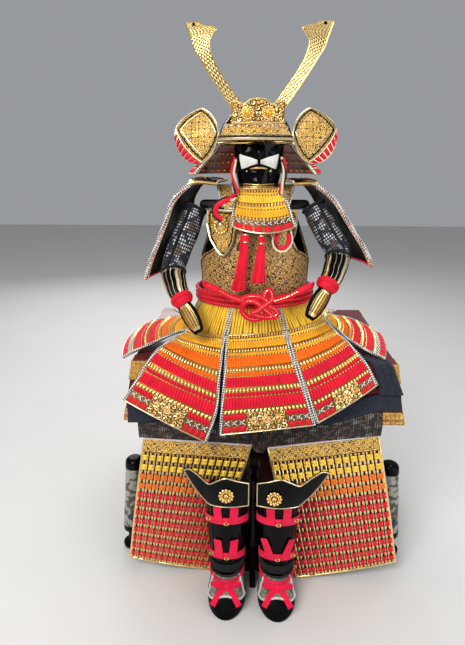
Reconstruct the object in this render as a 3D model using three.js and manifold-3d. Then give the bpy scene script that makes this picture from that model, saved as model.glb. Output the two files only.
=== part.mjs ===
import * as THREE from 'three';
import { mergeVertices } from 'three/addons/utils/BufferGeometryUtils.js';
import Module from 'manifold-3d';

// A third-scale suit of laced samurai armour, dressed on its stand and seated on its storage chest.
// Millimetres, +Z up, +X to the viewer's right, the front faces -Y. The floor is z = 0.
// The origin lies on the floor under the armour, halfway between the chest's front and back.

const wasm = await Module();
wasm.setup();

// Driving dimensions

const CLOTH = 1.8;            // wall of laced lames, quilted and woven cloth
const PLATE = 2;              // wall of lacquered and gilt plates
const BODY = { x: -1, y: -30 };            // axis of the cuirass and the waist
const HEAD = { x: -2, y: -32 };            // axis of the helmet
const CHEST = {
  x: 9, wall: 5, bodyX: 123, bodyY: 87, bodyTop: 223.7,
  topX: 132, topY: 96, rimX: 142.5, rimY: 106, rim: 168, top: 230, ceiling: 224,
};
const WAIST = { a: 75, b: 50, z: 254.5, tilt: 0.1 };   // hem of the waist lacing, higher on the right

const rad = THREE.MathUtils.degToRad;
const mix = THREE.MathUtils.lerp;
const vec = (x, y, z) => new THREE.Vector3(x, y, z);

// Tables: a header of column names, then one row for each section

function table(columns, rows) {
  const names = columns.split(' ');
  return rows.map((row) => Object.fromEntries(names.map((name, i) => [name, row[i]])));
}

function lookUp(rows, key, value, column) {
  if (value <= rows[0][key]) return rows[0][column];
  for (let i = 1; i < rows.length; i++) {
    if (value <= rows[i][key]) {
      const t = (value - rows[i - 1][key]) / (rows[i][key] - rows[i - 1][key]);
      return mix(rows[i - 1][column], rows[i][column], t);
    }
  }
  return rows[rows.length - 1][column];
}

const smooth = (points) => new THREE.CatmullRomCurve3(points, false, 'catmullrom', 0.5);
const edge = (rows) => smooth(rows.map(([x, y, z]) => vec(x, y, z)));

// Solids from points

function solid(points, triangles) {
  let volume = 0;
  for (const [a, b, c] of triangles) {
    volume += points[a].dot(points[b].clone().cross(points[c]));
  }
  const faces = volume < 0 ? triangles.map(([a, b, c]) => [a, c, b]) : triangles;
  const geometry = new THREE.BufferGeometry();
  geometry.setAttribute('position', new THREE.Float32BufferAttribute(points.flatMap((p) => p.toArray()), 3));
  geometry.setIndex(faces.flat());
  return geometry;
}

// A closed body through rings of equal length, from first to last, with flat ends
function loft(rings) {
  const n = rings[0].length;
  const triangles = [];
  for (let k = 0; k < rings.length - 1; k++) {
    for (let i = 0; i < n; i++) {
      const a = k * n + i;
      const b = k * n + (i + 1) % n;
      triangles.push([a, b, b + n], [a, b + n, a + n]);
    }
  }
  const last = (rings.length - 1) * n;
  for (let i = 1; i < n - 1; i++) {
    triangles.push([0, i + 1, i], [last, last + i, last + i + 1]);
  }
  return solid(rings.flat(), triangles);
}

const steps = (count) => Array.from({ length: count + 1 }, (_, i) => i / count);

// Lames overlap like tiles: each stands proud at its lower edge and tucks in below it
const LAP = 0.86;
const lameRows = (count) => [...Array.from({ length: count }, (_, k) => [k / count, (k + LAP) / count]).flat(), 1];
const lameRelief = (count, height) => (u, v) => {
  const part = v * count - Math.floor(v * count + 1e-6);
  return v > 1 - 1e-6 ? 0 : height * Math.max(0, part) / LAP;
};

// Scales or cords side by side: every second column of points stands proud
const ribRelief = (columns, height) => (u) => (Math.round(u * columns) % 2 ? height : 0);

// A wall on the surface at(u, v), its plain side towards the point 'from'
function wall({ at, from, us, vs, thick = CLOTH, relief = () => 0, ring = false }) {
  const e = 1e-3;
  const normal = (u, v) => {
    const du = at(ring ? u + e : Math.min(u + e, 1), v).sub(at(ring ? u - e : Math.max(u - e, 0), v));
    const dv = at(u, Math.min(v + e, 1)).sub(at(u, Math.max(v - e, 0)));
    return du.cross(dv).normalize();
  };
  const side = Math.sign(normal(0.5, 0.5).dot(at(0.5, 0.5).sub(from)));
  const cols = ring ? us.length - 1 : us.length;
  const outer = [];
  const inner = [];
  for (const v of vs) {
    for (const u of us.slice(0, cols)) {
      const point = at(u, v);
      const out = normal(u, v).multiplyScalar(side);
      outer.push(point.clone().addScaledVector(out, relief(u, v)));
      inner.push(point.clone().addScaledVector(out, -thick));
    }
  }
  const triangles = [];
  const quad = (a, b, c, d) => triangles.push([a, b, c], [a, c, d]);
  const back = outer.length;
  const rows = vs.length;
  for (let j = 0; j < rows - 1; j++) {
    for (let i = 0; i < us.length - 1; i++) {
      const a = j * cols + i;
      const b = j * cols + (i + 1) % cols;
      quad(a, b, b + cols, a + cols);
      quad(back + a, back + a + cols, back + b + cols, back + b);
    }
  }
  for (let i = 0; i < us.length - 1; i++) {
    const a = i;
    const b = (i + 1) % cols;
    const low = (rows - 1) * cols;
    quad(a, back + a, back + b, b);
    quad(low + a, low + b, back + low + b, back + low + a);
  }
  if (!ring) {
    for (let j = 0; j < rows - 1; j++) {
      const a = j * cols;
      const b = a + cols - 1;
      quad(a, a + cols, back + a + cols, back + a);
      quad(b, back + b, back + b + cols, b + cols);
    }
  }
  return solid([...outer, ...inner], triangles);
}

// A tube of round section along a curve
function tube(points, radius, sides = 8, lengthwise = 10) {
  const section = new THREE.Shape(steps(sides).slice(0, sides).map((t) => (
    new THREE.Vector2(radius * Math.cos(2 * Math.PI * t), radius * Math.sin(2 * Math.PI * t)))));
  return new THREE.ExtrudeGeometry(section, { steps: lengthwise, extrudePath: smooth(points), bevelEnabled: false });
}

function toManifold(geometry) {
  const bare = geometry.clone();
  bare.deleteAttribute('normal');
  bare.deleteAttribute('uv');
  const merged = mergeVertices(bare, 1e-4);
  const triVerts = new Uint32Array(merged.index.array);
  const vertProperties = new Float32Array(merged.attributes.position.array);
  return new wasm.Manifold(new wasm.Mesh({ numProp: 3, vertProperties, triVerts }));
}

function joined(geometries) {
  const mesh = geometries.map(toManifold).reduce((a, b) => a.add(b)).getMesh();
  const geometry = new THREE.BufferGeometry();
  geometry.setAttribute('position', new THREE.BufferAttribute(mesh.vertProperties, 3));
  geometry.setIndex(new THREE.BufferAttribute(mesh.triVerts, 1));
  return geometry;
}

// A lathe about the vertical line through (x, y)
function turned(x, y, profile, sides = 16) {
  const geometry = new THREE.LatheGeometry(profile.map(([r, z]) => new THREE.Vector2(r, z)), sides);
  return geometry.rotateX(Math.PI / 2).translate(x, y, 0);
}

// Materials

const finish = (color, roughness, metalness = 0) => new THREE.MeshStandardMaterial({ color, roughness, metalness });
const FINISH = {
  maroonLacquer: finish(0x3a0c0c, 0.25),
  blackLacquer: finish(0x0c0b0b, 0.15),
  gilt: finish(0xc8963c, 0.35, 1),
  goldLeather: finish(0xc29a4a, 0.55, 0.2),
  lacing: finish(0xd8402c, 0.7),
  yellowLacing: finish(0xf2c230, 0.7),
  redSilk: finish(0xd01834, 0.5),
  brocade: finish(0x5c5140, 0.6),
  darkCloth: finish(0x15110f, 0.9),
  navyCotton: finish(0x141826, 0.95),
};

const armour = new THREE.Group();

function add(name, material, geometry) {
  const mesh = new THREE.Mesh(geometry, FINISH[material]);
  mesh.name = name;
  armour.add(mesh);
}

// Storage chest: an open tray under a deep flared lid with gilt corners

const rectangle = (x, halfX, halfY, z) => [
  vec(x - halfX, -halfY, z), vec(x + halfX, -halfY, z), vec(x + halfX, halfY, z), vec(x - halfX, halfY, z)];

const lidFlare = (z) => (CHEST.top - z) / (CHEST.top - CHEST.rim);
const lidHalfX = (z) => mix(CHEST.topX, CHEST.rimX, lidFlare(z));
const lidHalfY = (z) => mix(CHEST.topY, CHEST.rimY, lidFlare(z));

{
  const { x, wall: t, bodyX, bodyY, bodyTop, rim, top, ceiling } = CHEST;
  add('chest_body', 'maroonLacquer', loft([
    rectangle(x, bodyX - t, bodyY - t, t),
    rectangle(x, bodyX - t, bodyY - t, bodyTop),
    rectangle(x, bodyX, bodyY, bodyTop),
    rectangle(x, bodyX, bodyY, 0)]));
  add('chest_lid', 'maroonLacquer', loft([
    rectangle(x, lidHalfX(ceiling) - t, lidHalfY(ceiling) - t, ceiling),
    rectangle(x, lidHalfX(rim) - t, lidHalfY(rim) - t, rim),
    rectangle(x, lidHalfX(rim), lidHalfY(rim), rim),
    rectangle(x, lidHalfX(top), lidHalfY(top), top)]));
}

const CORNER = { arm: 17, gap: 0.3, thick: 1, low: 211, high: 229.8 };

function cornerBand(sx, sy) {
  const ring = (z) => {
    const near = CORNER.gap;
    const far = CORNER.gap + CORNER.thick;
    const at = (dx, dy) => vec(CHEST.x + sx * (lidHalfX(z) + dx), sy * (lidHalfY(z) + dy), z);
    return [at(far, far), at(-CORNER.arm, far), at(-CORNER.arm, near), at(near, near),
      at(near, -CORNER.arm), at(far, -CORNER.arm)];
  };
  return loft([ring(CORNER.low), ring(CORNER.high)]);
}

for (const [name, sx, sy] of [['front_left', -1, -1], ['front_right', 1, -1], ['rear_left', -1, 1], ['rear_right', 1, 1]]) {
  add(`lid_corner_${name}`, 'gilt', cornerBand(sx, sy));
}

// Armour stand: foot, post and head block in one turning, with a yoke for the shoulders

const YOKE = { radius: 5, length: 104, x: -2, z: 379 };

{
  const foot = CHEST.top + 0.3;
  const post = turned(BODY.x, BODY.y, [
    [0, foot], [42, foot], [42, foot + 5], [8, foot + 8], [6.5, foot + 14], [6.5, 436], [17, 441],
    [20, 452], [14, 463], [6, 470], [0, 472.4]], 14);
  const yoke = new THREE.CapsuleGeometry(YOKE.radius, YOKE.length, 3, 8).rotateZ(Math.PI / 2)
    .translate(YOKE.x, BODY.y, YOKE.z);
  add('stand', 'blackLacquer', joined([post, yoke]));
}

// Helmet

const around = (centre, radiusX, radiusY, phi, z) => (
  vec(centre.x + radiusX * Math.sin(phi), centre.y - radiusY * Math.cos(phi), z));

const BOWL = { radius: 36, base: 437, rise: 38, plates: 18, rib: 0.8, crown: 2.2 };

add('helmet_bowl', 'blackLacquer', wall({
  at: (u, v) => {
    const theta = v * Math.acos(BOWL.crown / BOWL.radius);
    const r = BOWL.radius * Math.cos(theta);
    return around(HEAD, r, r, 2 * Math.PI * u, BOWL.base + BOWL.rise * Math.sin(theta));
  },
  from: vec(HEAD.x, HEAD.y, BOWL.base),
  us: steps(2 * BOWL.plates), vs: steps(4), thick: PLATE, ring: true,
  relief: (u, v) => ribRelief(2 * BOWL.plates, BOWL.rib)(u) * (1 - v),
}));

const VISOR = { spread: rad(42), profile: table('v r z', [[0, 34, 455], [0.3, 41, 454.3], [1, 52, 440.6]]) };

function visorAt(u, v) {
  const r = lookUp(VISOR.profile, 'v', v, 'r');
  return around(HEAD, r, r, mix(-VISOR.spread, VISOR.spread, u), lookUp(VISOR.profile, 'v', v, 'z'));
}

add('helmet_visor', 'goldLeather', wall({
  at: visorAt, from: vec(HEAD.x, HEAD.y, 430), us: steps(12), vs: [0, 0.3, 0.65, 1], thick: PLATE,
}));

const CREST = { half: 24, front: -75.5, curve: 200, low: 454.6 };
const CREST_TOP = table('x z', [[0, 475.5], [7, 474.5], [12, 470.5], [18, 472.5], [24, 473]]);

add('crest_base', 'gilt', wall({
  at: (u, v) => {
    const x = mix(-CREST.half, CREST.half, u);
    const low = CREST.low;
    return vec(x, CREST.front + x * x / CREST.curve, mix(low, lookUp(CREST_TOP, 'x', Math.abs(x), 'z'), v));
  },
  from: vec(0, HEAD.y, 460), us: steps(16), vs: [0, 0.5, 1], thick: PLATE,
}));

const HORN = table('x z', [
  [13, 459], [14.6, 469.8], [24, 482.7], [36.3, 500.3], [41.6, 512.9], [42.8, 521.4], [39.4, 528],
  [35.6, 531.2], [39.2, 534], [44.4, 534.9], [49.1, 533.9], [51.5, 536.7], [57.7, 537.5], [64.6, 536.1],
  [60.6, 523.1], [53, 508], [43.1, 492.6], [31.9, 476.8], [24.5, 466.7], [21, 459]]);
const HORN_BACK = -68.9;
const HORN_THICK = 1.4;

for (const [name, side] of [['left', -1], ['right', 1]]) {
  const outline = new THREE.Shape(HORN.map(({ x, z }) => new THREE.Vector2(side * x, z)));
  const blade = new THREE.ExtrudeGeometry(outline, { depth: HORN_THICK, bevelEnabled: false });
  add(`crest_horn_${name}`, 'gilt', blade.rotateX(Math.PI / 2).translate(0, HORN_BACK, 0));
}

// Turned-back ears: gilt leather leaves that fold out from the front ends of the neck guard
const EAR = { foldTop: [37.5, -64, 442], freeTop: [47, -48, 469], foldLow: [49.2, -62.3, 418.6],
  freeLow: [73, -53, 450], crown: 7 };

function earAt(side, u, v) {
  const top = vec(...EAR.foldTop).lerp(vec(...EAR.freeTop), u);
  const low = vec(...EAR.foldLow).lerp(vec(...EAR.freeLow), u);
  const point = top.lerp(low, v);
  const bulge = EAR.crown * Math.sin(Math.PI * (0.15 + 0.85 * u)) * Math.sin(Math.PI * (0.1 + 0.8 * v));
  point.add(vec(-0.2, -0.8, 0.4).multiplyScalar(bulge));
  return vec(HEAD.x + side * point.x, point.y, point.z);
}

for (const [name, side] of [['left', -1], ['right', 1]]) {
  add(`helmet_ear_${name}`, 'goldLeather', wall({
    at: (u, v) => earAt(side, u, v), from: vec(HEAD.x, 0, 440), us: steps(6), vs: steps(5), thick: CLOTH,
  }));
}

const NECK = { start: rad(60), end: rad(300), lames: 3, top: [38.4, 437.5], low: [66, 410] };

add('neck_guard', 'lacing', wall({
  at: (u, v) => {
    const r = mix(NECK.top[0], NECK.low[0], v);
    return around(HEAD, r, r, mix(NECK.start, NECK.end, u), mix(NECK.top[1], NECK.low[1], v));
  },
  from: vec(HEAD.x, HEAD.y, 400), us: steps(18), vs: lameRows(NECK.lames), relief: lameRelief(NECK.lames, 1.2),
}));

// Face mask with its laced throat guard

const MASK = { x: 1.5, y: -50, a: 24, b: 22, low: 397, top: 436.5, spread: rad(85) };

add('mask', 'blackLacquer', wall({
  at: (u, v) => {
    const taper = 1 - 0.22 * v * v;
    const phi = mix(-MASK.spread, MASK.spread, u);
    return around(MASK, MASK.a * taper, MASK.b * taper, phi, mix(MASK.top, MASK.low, v));
  },
  from: vec(MASK.x, MASK.y, 415), us: steps(16), vs: steps(7), thick: PLATE,
  relief: (u, v) => {
    const nose = 6 * Math.exp(-(((u - 0.5) / 0.06) ** 2)) * Math.exp(-(((v - 0.38) / 0.22) ** 2));
    const chin = 3 * Math.exp(-(((u - 0.5) / 0.16) ** 2)) * Math.exp(-(((v - 0.88) / 0.12) ** 2));
    return nose + chin;
  },
}));

const THROAT = { top: 396.5, lames: 4, leftTop: -20, rightTop: 24, leftLow: -23.5, rightLow: 37 };

function throatAt(u, v) {
  const across = 2 * u - 1;
  const x = mix(mix(THROAT.leftTop, THROAT.leftLow, v), mix(THROAT.rightTop, THROAT.rightLow, v), u);
  const y = mix(-69.6, -95, v) + mix(6, 12, v) * across * across;
  return vec(x, y, mix(THROAT.top, 358 + 5 * across * across, v));
}

add('throat_guard', 'yellowLacing', wall({
  at: throatAt, from: vec(0, 0, 380), us: steps(10), vs: lameRows(THROAT.lames), relief: lameRelief(THROAT.lames, 1),
}));

// Cuirass: front and back shells in gilt printed leather

const CUIRASS = table('z a b front back', [
  [282, 54, 44, 88, 88], [300, 56, 45.5, 88, 88], [322, 57, 46, 86, 86], [337, 57, 45, 47, 70],
  [350, 57, 44, 38, 60], [366, 56, 42, 34, 52], [384, 55, 39, 32, 42]]);
const CUIRASS_LOW = 282;
const FRONT_TOP = 378;
const BACK_TOP = 384;

function cuirassAt(phi, z, out = 0) {
  const a = lookUp(CUIRASS, 'z', z, 'a') + out;
  const b = lookUp(CUIRASS, 'z', z, 'b') + out;
  return around(BODY, a, b, phi, z);
}

function cuirassHalf(spreadColumn, top, turn) {
  return (u, v) => {
    const z = mix(CUIRASS_LOW, top, v);
    const spread = rad(lookUp(CUIRASS, 'z', z, spreadColumn));
    return cuirassAt(turn + mix(-spread, spread, u), z);
  };
}

const axisPoint = vec(BODY.x, BODY.y, 320);
const cuirassRows = [0, 0.19, 0.4, 0.5, 0.57, 0.64, 0.71, 0.86, 1];
add('cuirass_front', 'goldLeather', wall({
  at: cuirassHalf('front', FRONT_TOP, 0), from: axisPoint, us: steps(10), vs: cuirassRows, thick: PLATE,
}));
add('cuirass_back', 'goldLeather', wall({
  at: cuirassHalf('back', BACK_TOP, Math.PI), from: axisPoint, us: steps(10), vs: cuirassRows, thick: PLATE,
}));

// Shoulder straps from the back's top edge over to the front's
const STRAP = { half: 7.5, path: [[25, -64.6, 379.2], [28, -58, 390], [31, -42, 397], [32, -25, 399], [30, -8, 395], [27, 5.4, 386.4]] };

for (const [name, side] of [['left', -1], ['right', 1]]) {
  const path = edge(STRAP.path);
  add(`shoulder_strap_${name}`, 'goldLeather', wall({
    at: (u, v) => {
      const p = path.getPoint(v);
      return vec(BODY.x + side * (p.x + mix(-STRAP.half, STRAP.half, u)), p.y, p.z);
    },
    from: vec(BODY.x, BODY.y, 350), us: [0, 0.5, 1], vs: steps(12),
  }));
}

// Chest plates, which lie just off the cuirass
const CHEST_PLATES = {
  left: table('z left right', [[333, -34.5, -31.5], [338, -39, -27], [348, -45.5, -22], [362, -49, -20], [376, -48, -21]]),
  right: table('z left right', [[339, 24, 27], [345, 18, 33], [354, 14, 37.5], [364, 13, 39], [376, 14, 38]]),
};

for (const [name, rows] of Object.entries(CHEST_PLATES)) {
  add(`chest_plate_${name}`, 'goldLeather', wall({
    at: (u, v) => {
      const z = mix(rows[0].z, rows[rows.length - 1].z, v);
      const x = mix(lookUp(rows, 'z', z, 'left'), lookUp(rows, 'z', z, 'right'), u);
      const reach = lookUp(CUIRASS, 'z', z, 'a') + 2.7;
      return cuirassAt(Math.asin((x - BODY.x) / reach), z, 2.7);
    },
    from: axisPoint, us: steps(4), vs: steps(8),
  }));
}

// Belt: a cord sash round the waist, its knot and its two ends

const BELT = { a: 60.6, b: 49.2, z: 288, thick: 4.2, tall: 6 };

add('belt', 'redSilk', (() => {
  const around3 = (u, v) => {
    const phi = 2 * Math.PI * u;
    const t = 2 * Math.PI * v;
    const out = BELT.thick * Math.cos(t);
    return around(BODY, BELT.a + out, BELT.b + out, phi, BELT.z + BELT.tall * Math.sin(t));
  };
  const rounds = 34;
  const section = 6;
  const points = [];
  const triangles = [];
  for (let i = 0; i < rounds; i++) {
    for (let j = 0; j < section; j++) {
      points.push(around3(i / rounds, j / section));
      const a = i * section + j;
      const b = i * section + (j + 1) % section;
      const c = ((i + 1) % rounds) * section;
      triangles.push([a, c + j, c + (j + 1) % section], [a, c + (j + 1) % section, b]);
    }
  }
  return solid(points, triangles);
})());

const KNOT = { x: 3, y: -89.4, z: 285, a: 20, b: 5.4, c: 15 };

add('belt_knot', 'redSilk', (() => {
  const ball = new THREE.SphereGeometry(1, 16, 8);
  const at = ball.attributes.position;
  for (let i = 0; i < at.count; i++) {
    const turn = Math.atan2(at.getY(i), at.getX(i));
    const lobe = 1 + 0.1 * Math.cos(4 * turn);
    at.setXYZ(i, at.getX(i) * lobe, at.getY(i) * lobe, at.getZ(i));
  }
  return ball.rotateX(Math.PI / 2).scale(KNOT.a, KNOT.b, KNOT.c).translate(KNOT.x, KNOT.y, KNOT.z);
})());

add('belt_end_left', 'redSilk', tube([vec(-15.4, -89.6, 292.4), vec(-32, -91, 300), vec(-49, -89, 308)], 3.4));
add('belt_end_right', 'redSilk', tube([vec(21.4, -89.6, 292.4), vec(38, -91, 300), vec(54, -89, 308)], 3.4));

// Waist lacing: long laces that let the skirt swing, side by side round the waist

const waistEdge = (phi, drop = 0) => {
  const point = around(BODY, WAIST.a, WAIST.b, phi, 0);
  return point.setZ(WAIST.z + WAIST.tilt * point.x - drop);
};
const LACES = { a: 57.6, b: 46.8, top: 281.3, columns: 56 };

add('waist_lacing', 'yellowLacing', wall({
  at: (u, v) => {
    const phi = 2 * Math.PI * u;
    return around(BODY, LACES.a, LACES.b, phi, LACES.top).lerp(waistEdge(phi), v);
  },
  from: vec(BODY.x, BODY.y, 230), us: steps(LACES.columns), vs: [0, 0.5, 1], ring: true,
  relief: ribRelief(LACES.columns, 0.8),
}));

// Skirt: seven tapering panels of laced lames. Each has a row for each fifth of its length:
// the near edge (x1, y1, z1) and the far edge (x2, y2, z2). Their tops lie along the waist lacing.

const SKIRT_COLUMNS = 'x1 y1 z1 x2 y2 z2';
const SKIRT = {
  front: { from: -21.6, to: 24.1, rows: table(SKIRT_COLUMNS, [
    [-28.9, -92, 238, 34, -92, 244.3], [-29.5, -110, 218.7, 41.2, -110, 226.2],
    [-31.4, -121, 195.9, 49.8, -121, 205], [-33.1, -129, 166.3, 58.7, -129, 179.4]]) },
  front_left: { from: -69, to: -23.3, rows: table(SKIRT_COLUMNS, [
    [-84, -70, 244.5, -32.6, -93, 238.4], [-100, -93.5, 238.5, -34.8, -111.5, 214],
    [-114, -107, 219, -36.6, -122, 189.5], [-129.5, -116, 196, -46.9, -130, 158.5]]) },
  front_right: { from: 26, to: 74, rows: table(SKIRT_COLUMNS, [
    [36.3, -93, 244.7, 83, -66, 254], [43.6, -110, 226.3, 95, -84, 246],
    [52.2, -121, 205, 109, -99, 232], [61, -128.5, 181, 119.5, -110, 213.8]]) },
  side_left: { from: -118, to: -71.5, rows: table(SKIRT_COLUMNS, [
    [-84, -8, 250, -88, -58, 245.5], [-104, -4, 246, -104, -69, 240.5],
    [-125, -5, 240, -120, -82, 236.5], [-144, -12, 226, -134, -93, 232]]) },
  side_right: { from: 77, to: 122, rows: table(SKIRT_COLUMNS, [
    [90, -50, 248.5, 88, -6, 253], [101, -66, 242.5, 106, -2, 249],
    [115, -82, 238, 126, -3, 241.5], [129, -95, 235, 143, -14, 234]]) },
  rear_left: { from: -178.5, to: -121, rows: table(SKIRT_COLUMNS, [
    [-3, 36, 248, -76, 12, 245], [-4, 52, 244, -88, 31, 242],
    [-5, 67, 240.5, -98, 50, 239], [-6, 82, 237, -106, 68, 236.5]]) },
  rear_right: { from: 124, to: 178.5, rows: table(SKIRT_COLUMNS, [
    [76, 12, 251, 1, 36, 248], [88, 31, 245, 2, 52, 244],
    [98, 50, 240, 3, 67, 240.5], [106, 68, 236.5, 4, 82, 237]]) },
};
const SKIRT_LAMES = 5;
const SKIRT_CROWN = 4;

function skirtAt(panel) {
  const near = smooth([waistEdge(rad(panel.from), 0.6), ...panel.rows.map((r) => vec(r.x1, r.y1, r.z1))]);
  const far = smooth([waistEdge(rad(panel.to), 0.6), ...panel.rows.map((r) => vec(r.x2, r.y2, r.z2))]);
  return (u, v) => {
    const waist = waistEdge(rad(mix(panel.from, panel.to, u)), 0.6);
    const straight = waistEdge(rad(panel.from), 0.6).lerp(waistEdge(rad(panel.to), 0.6), u);
    const arch = waist.sub(straight).multiplyScalar(1 - v);
    const crown = SKIRT_CROWN * 4 * u * (1 - u) * Math.sin(Math.PI * v / 2);
    const point = near.getPoint(v).lerp(far.getPoint(v), u).add(arch);
    const outward = vec(point.x - BODY.x, point.y - BODY.y, 0).normalize().multiplyScalar(0.7).setZ(0.3);
    return point.addScaledVector(outward, crown);
  };
}

for (const [name, panel] of Object.entries(SKIRT)) {
  add(`skirt_${name}`, 'lacing', wall({
    at: skirtAt(panel), from: vec(BODY.x, BODY.y, 150), us: steps(6), vs: lameRows(SKIRT_LAMES),
    relief: lameRelief(SKIRT_LAMES, 1.3),
  }));
}

// Shoulder guards: a lacquered cap plate over six laced lames, hung outside the arms.
// Each row is the front edge; 'skew' is how far the rear edge swings in towards the body.

const GUARD = { front: -60, depth: 70, bulge: 4, lames: 7 };
const GUARD_PATH = {
  left: table('x z skew', [[-38, 400.5, 6], [-63, 401, 9], [-82, 385, 14], [-91, 364, 18], [-100, 343, 22], [-109, 322, 26], [-114, 306, 30]]),
  right: table('x z skew', [[36, 400.5, 6], [56, 400, 9], [75, 386, 14], [87, 370, 18], [98, 354, 22], [109, 338, 26], [118, 321, 30]]),
};

function guardAt(side, rows) {
  const path = smooth(rows.map((r) => vec(r.x, r.skew, r.z)));
  return (u, v) => {
    const p = path.getPoint(v);
    const bulge = GUARD.bulge * 4 * u * (1 - u);
    return vec(p.x - side * (p.y * u - bulge), GUARD.front + GUARD.depth * u, p.z + 2 * u);
  };
}

for (const [name, side] of [['left', -1], ['right', 1]]) {
  add(`shoulder_guard_${name}`, 'lacing', wall({
    at: guardAt(side, GUARD_PATH[name]), from: vec(0, BODY.y, 330), us: steps(6), vs: lameRows(GUARD.lames),
    relief: lameRelief(GUARD.lames, 1.2),
  }));
}

// Armoured sleeves, open at shoulder and wrist, and the plates on the backs of the hands

const SLEEVE = {
  left: table('x y z r', [[-62, -35, 377.6, 11.5], [-73, -42, 350, 13], [-85, -50, 318, 12.5], [-81, -66, 300, 10], [-73, -78, 288, 8.5]]),
  right: table('x y z r', [[57, -36, 379.2, 11.5], [70, -43, 356, 13], [83, -50, 334, 12.5], [78, -66, 316, 10], [70, -78, 304, 8.5]]),
};

function sleeveAt(rows) {
  const path = smooth(rows.map((r) => vec(r.x, r.y, r.z)));
  return (u, v) => {
    const centre = path.getPoint(v);
    const along = path.getTangent(v);
    const across = vec(0, 1, 0).addScaledVector(along, -along.y).normalize();
    const over = along.clone().cross(across);
    const place = v * (rows.length - 1);
    const i = Math.min(Math.floor(place), rows.length - 2);
    const r = mix(rows[i].r, rows[i + 1].r, place - i);
    const turn = 2 * Math.PI * u;
    return centre.addScaledVector(across, r * Math.cos(turn)).addScaledVector(over, r * Math.sin(turn));
  };
}

const SPLINTS = 7;
for (const [name, rows] of Object.entries(SLEEVE)) {
  add(`sleeve_${name}`, 'brocade', wall({
    at: sleeveAt(rows), from: vec(rows[2].x, rows[2].y, rows[2].z), us: steps(2 * SPLINTS), vs: steps(7),
    thick: 1.5, ring: true, relief: (u, v) => (v > 0.55 ? ribRelief(2 * SPLINTS, 0.7)(u) : 0),
  }));
}

const HAND = { half: 8.5, crown: 4, knuckles: 0.8 };
const HAND_LINE = {
  left: [vec(-75, -82.8, 288.2), vec(-57.5, -93, 260)],
  right: [vec(72.2, -83, 304.5), vec(54.5, -93, 276)],
};

for (const [name, [wrist, tip]] of Object.entries(HAND_LINE)) {
  const along = tip.clone().sub(wrist).normalize();
  const away = vec(name === 'left' ? -0.45 : 0.45, -0.8, 0.1);
  const across = along.clone().cross(away).normalize();
  const out = across.clone().cross(along).normalize();
  add(`hand_plate_${name}`, 'gilt', wall({
    at: (u, v) => {
      const turn = mix(-1.35, 1.35, u);
      const half = HAND.half * Math.sqrt(1 - HAND.knuckles * (2 * v - 1) ** 2);
      return wrist.clone().lerp(tip, v).addScaledVector(across, half * Math.sin(turn))
        .addScaledVector(out, HAND.crown * Math.cos(turn) - HAND.crown);
    },
    from: wrist.clone().addScaledVector(out, -20), us: steps(6), vs: steps(4), thick: 1.2,
  }));
}

// Two silk tassels under the throat guard, each a bound head with its strands fused in

const TASSELS = {
  left: { head: vec(-10, -87.2, 352.6), foot: vec(-15, -87.5, 310) },
  right: { head: vec(5, -90.8, 352), foot: vec(2.5, -90.5, 313) },
};
const STRANDS = 7;

for (const [name, { head, foot }] of Object.entries(TASSELS)) {
  const strands = steps(STRANDS).slice(0, STRANDS).map((t) => {
    const turn = 2 * Math.PI * t;
    const root = head.clone().add(vec(2.2 * Math.cos(turn), 2.2 * Math.sin(turn), -4));
    const end = foot.clone().add(vec(4.4 * Math.cos(turn), 4.4 * Math.sin(turn), 2 * Math.sin(5 * turn)));
    const middle = root.clone().lerp(end, 0.35).add(vec(1.6 * Math.cos(turn), 1.6 * Math.sin(turn), 0));
    return tube([root, middle, end], 1.2, 4, 3);
  });
  const cap = turned(head.x, head.y, [[0, head.z - 8], [3.6, head.z - 7], [3.9, head.z - 3], [2.6, head.z + 2], [1.6, head.z + 6], [0, head.z + 6.4]], 10);
  add(`tassel_${name}`, 'redSilk', joined([cap, ...strands]));
}

// Thigh apron: cotton waist tape on the lid's front, dark cloth below it and two splinted panels

const TAPE = { left: -129, right: 146, wide: 17.5, gap: 0.6 };
const lidFront = (z) => -lidHalfY(Math.max(z, CHEST.rim));
const tapeLow = (x) => 168.3 + 13 * THREE.MathUtils.smoothstep(x, 50, 130) + 2 * Math.sin(x / 17);

add('apron_tape', 'navyCotton', wall({
  at: (u, v) => {
    const x = mix(TAPE.left, TAPE.right, u);
    const z = tapeLow(x) + TAPE.wide * v;
    return vec(x, lidFront(z) - TAPE.gap - CLOTH, z);
  },
  from: vec(0, 0, 175), us: steps(16), vs: [0, 1],
}));

const TAPE_LOOP = table('x1 y1 z1 x2 y2 z2', [
  [104, -80, 232.4, 122, -72, 232.4], [115, -99, 232.4, 134, -99, 232.4],
  [121, -104, 216, 141, -104, 217], [124, -107, 202, 147, -107, 202]]);
{
  const near = smooth(TAPE_LOOP.map((r) => vec(r.x1, r.y1, r.z1)));
  const far = smooth(TAPE_LOOP.map((r) => vec(r.x2, r.y2, r.z2)));
  add('apron_tape_loop', 'navyCotton', wall({
    at: (u, v) => near.getPoint(v).lerp(far.getPoint(v), u).add(vec(0, -1.5 * Math.sin(3 * Math.PI * u) ** 2, 0)),
    from: vec(110, 0, 200), us: steps(6), vs: steps(6),
  }));
}

const APRON_HEM = table('x z', [[-119, 148], [-2, 142.4], [0.5, 134], [12, 131], [14, 139.4], [129, 156]]);
const APRON = { left: -119, right: 129, hemY: -105.2, seam: 0.8, gap: 0.9 };

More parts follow.
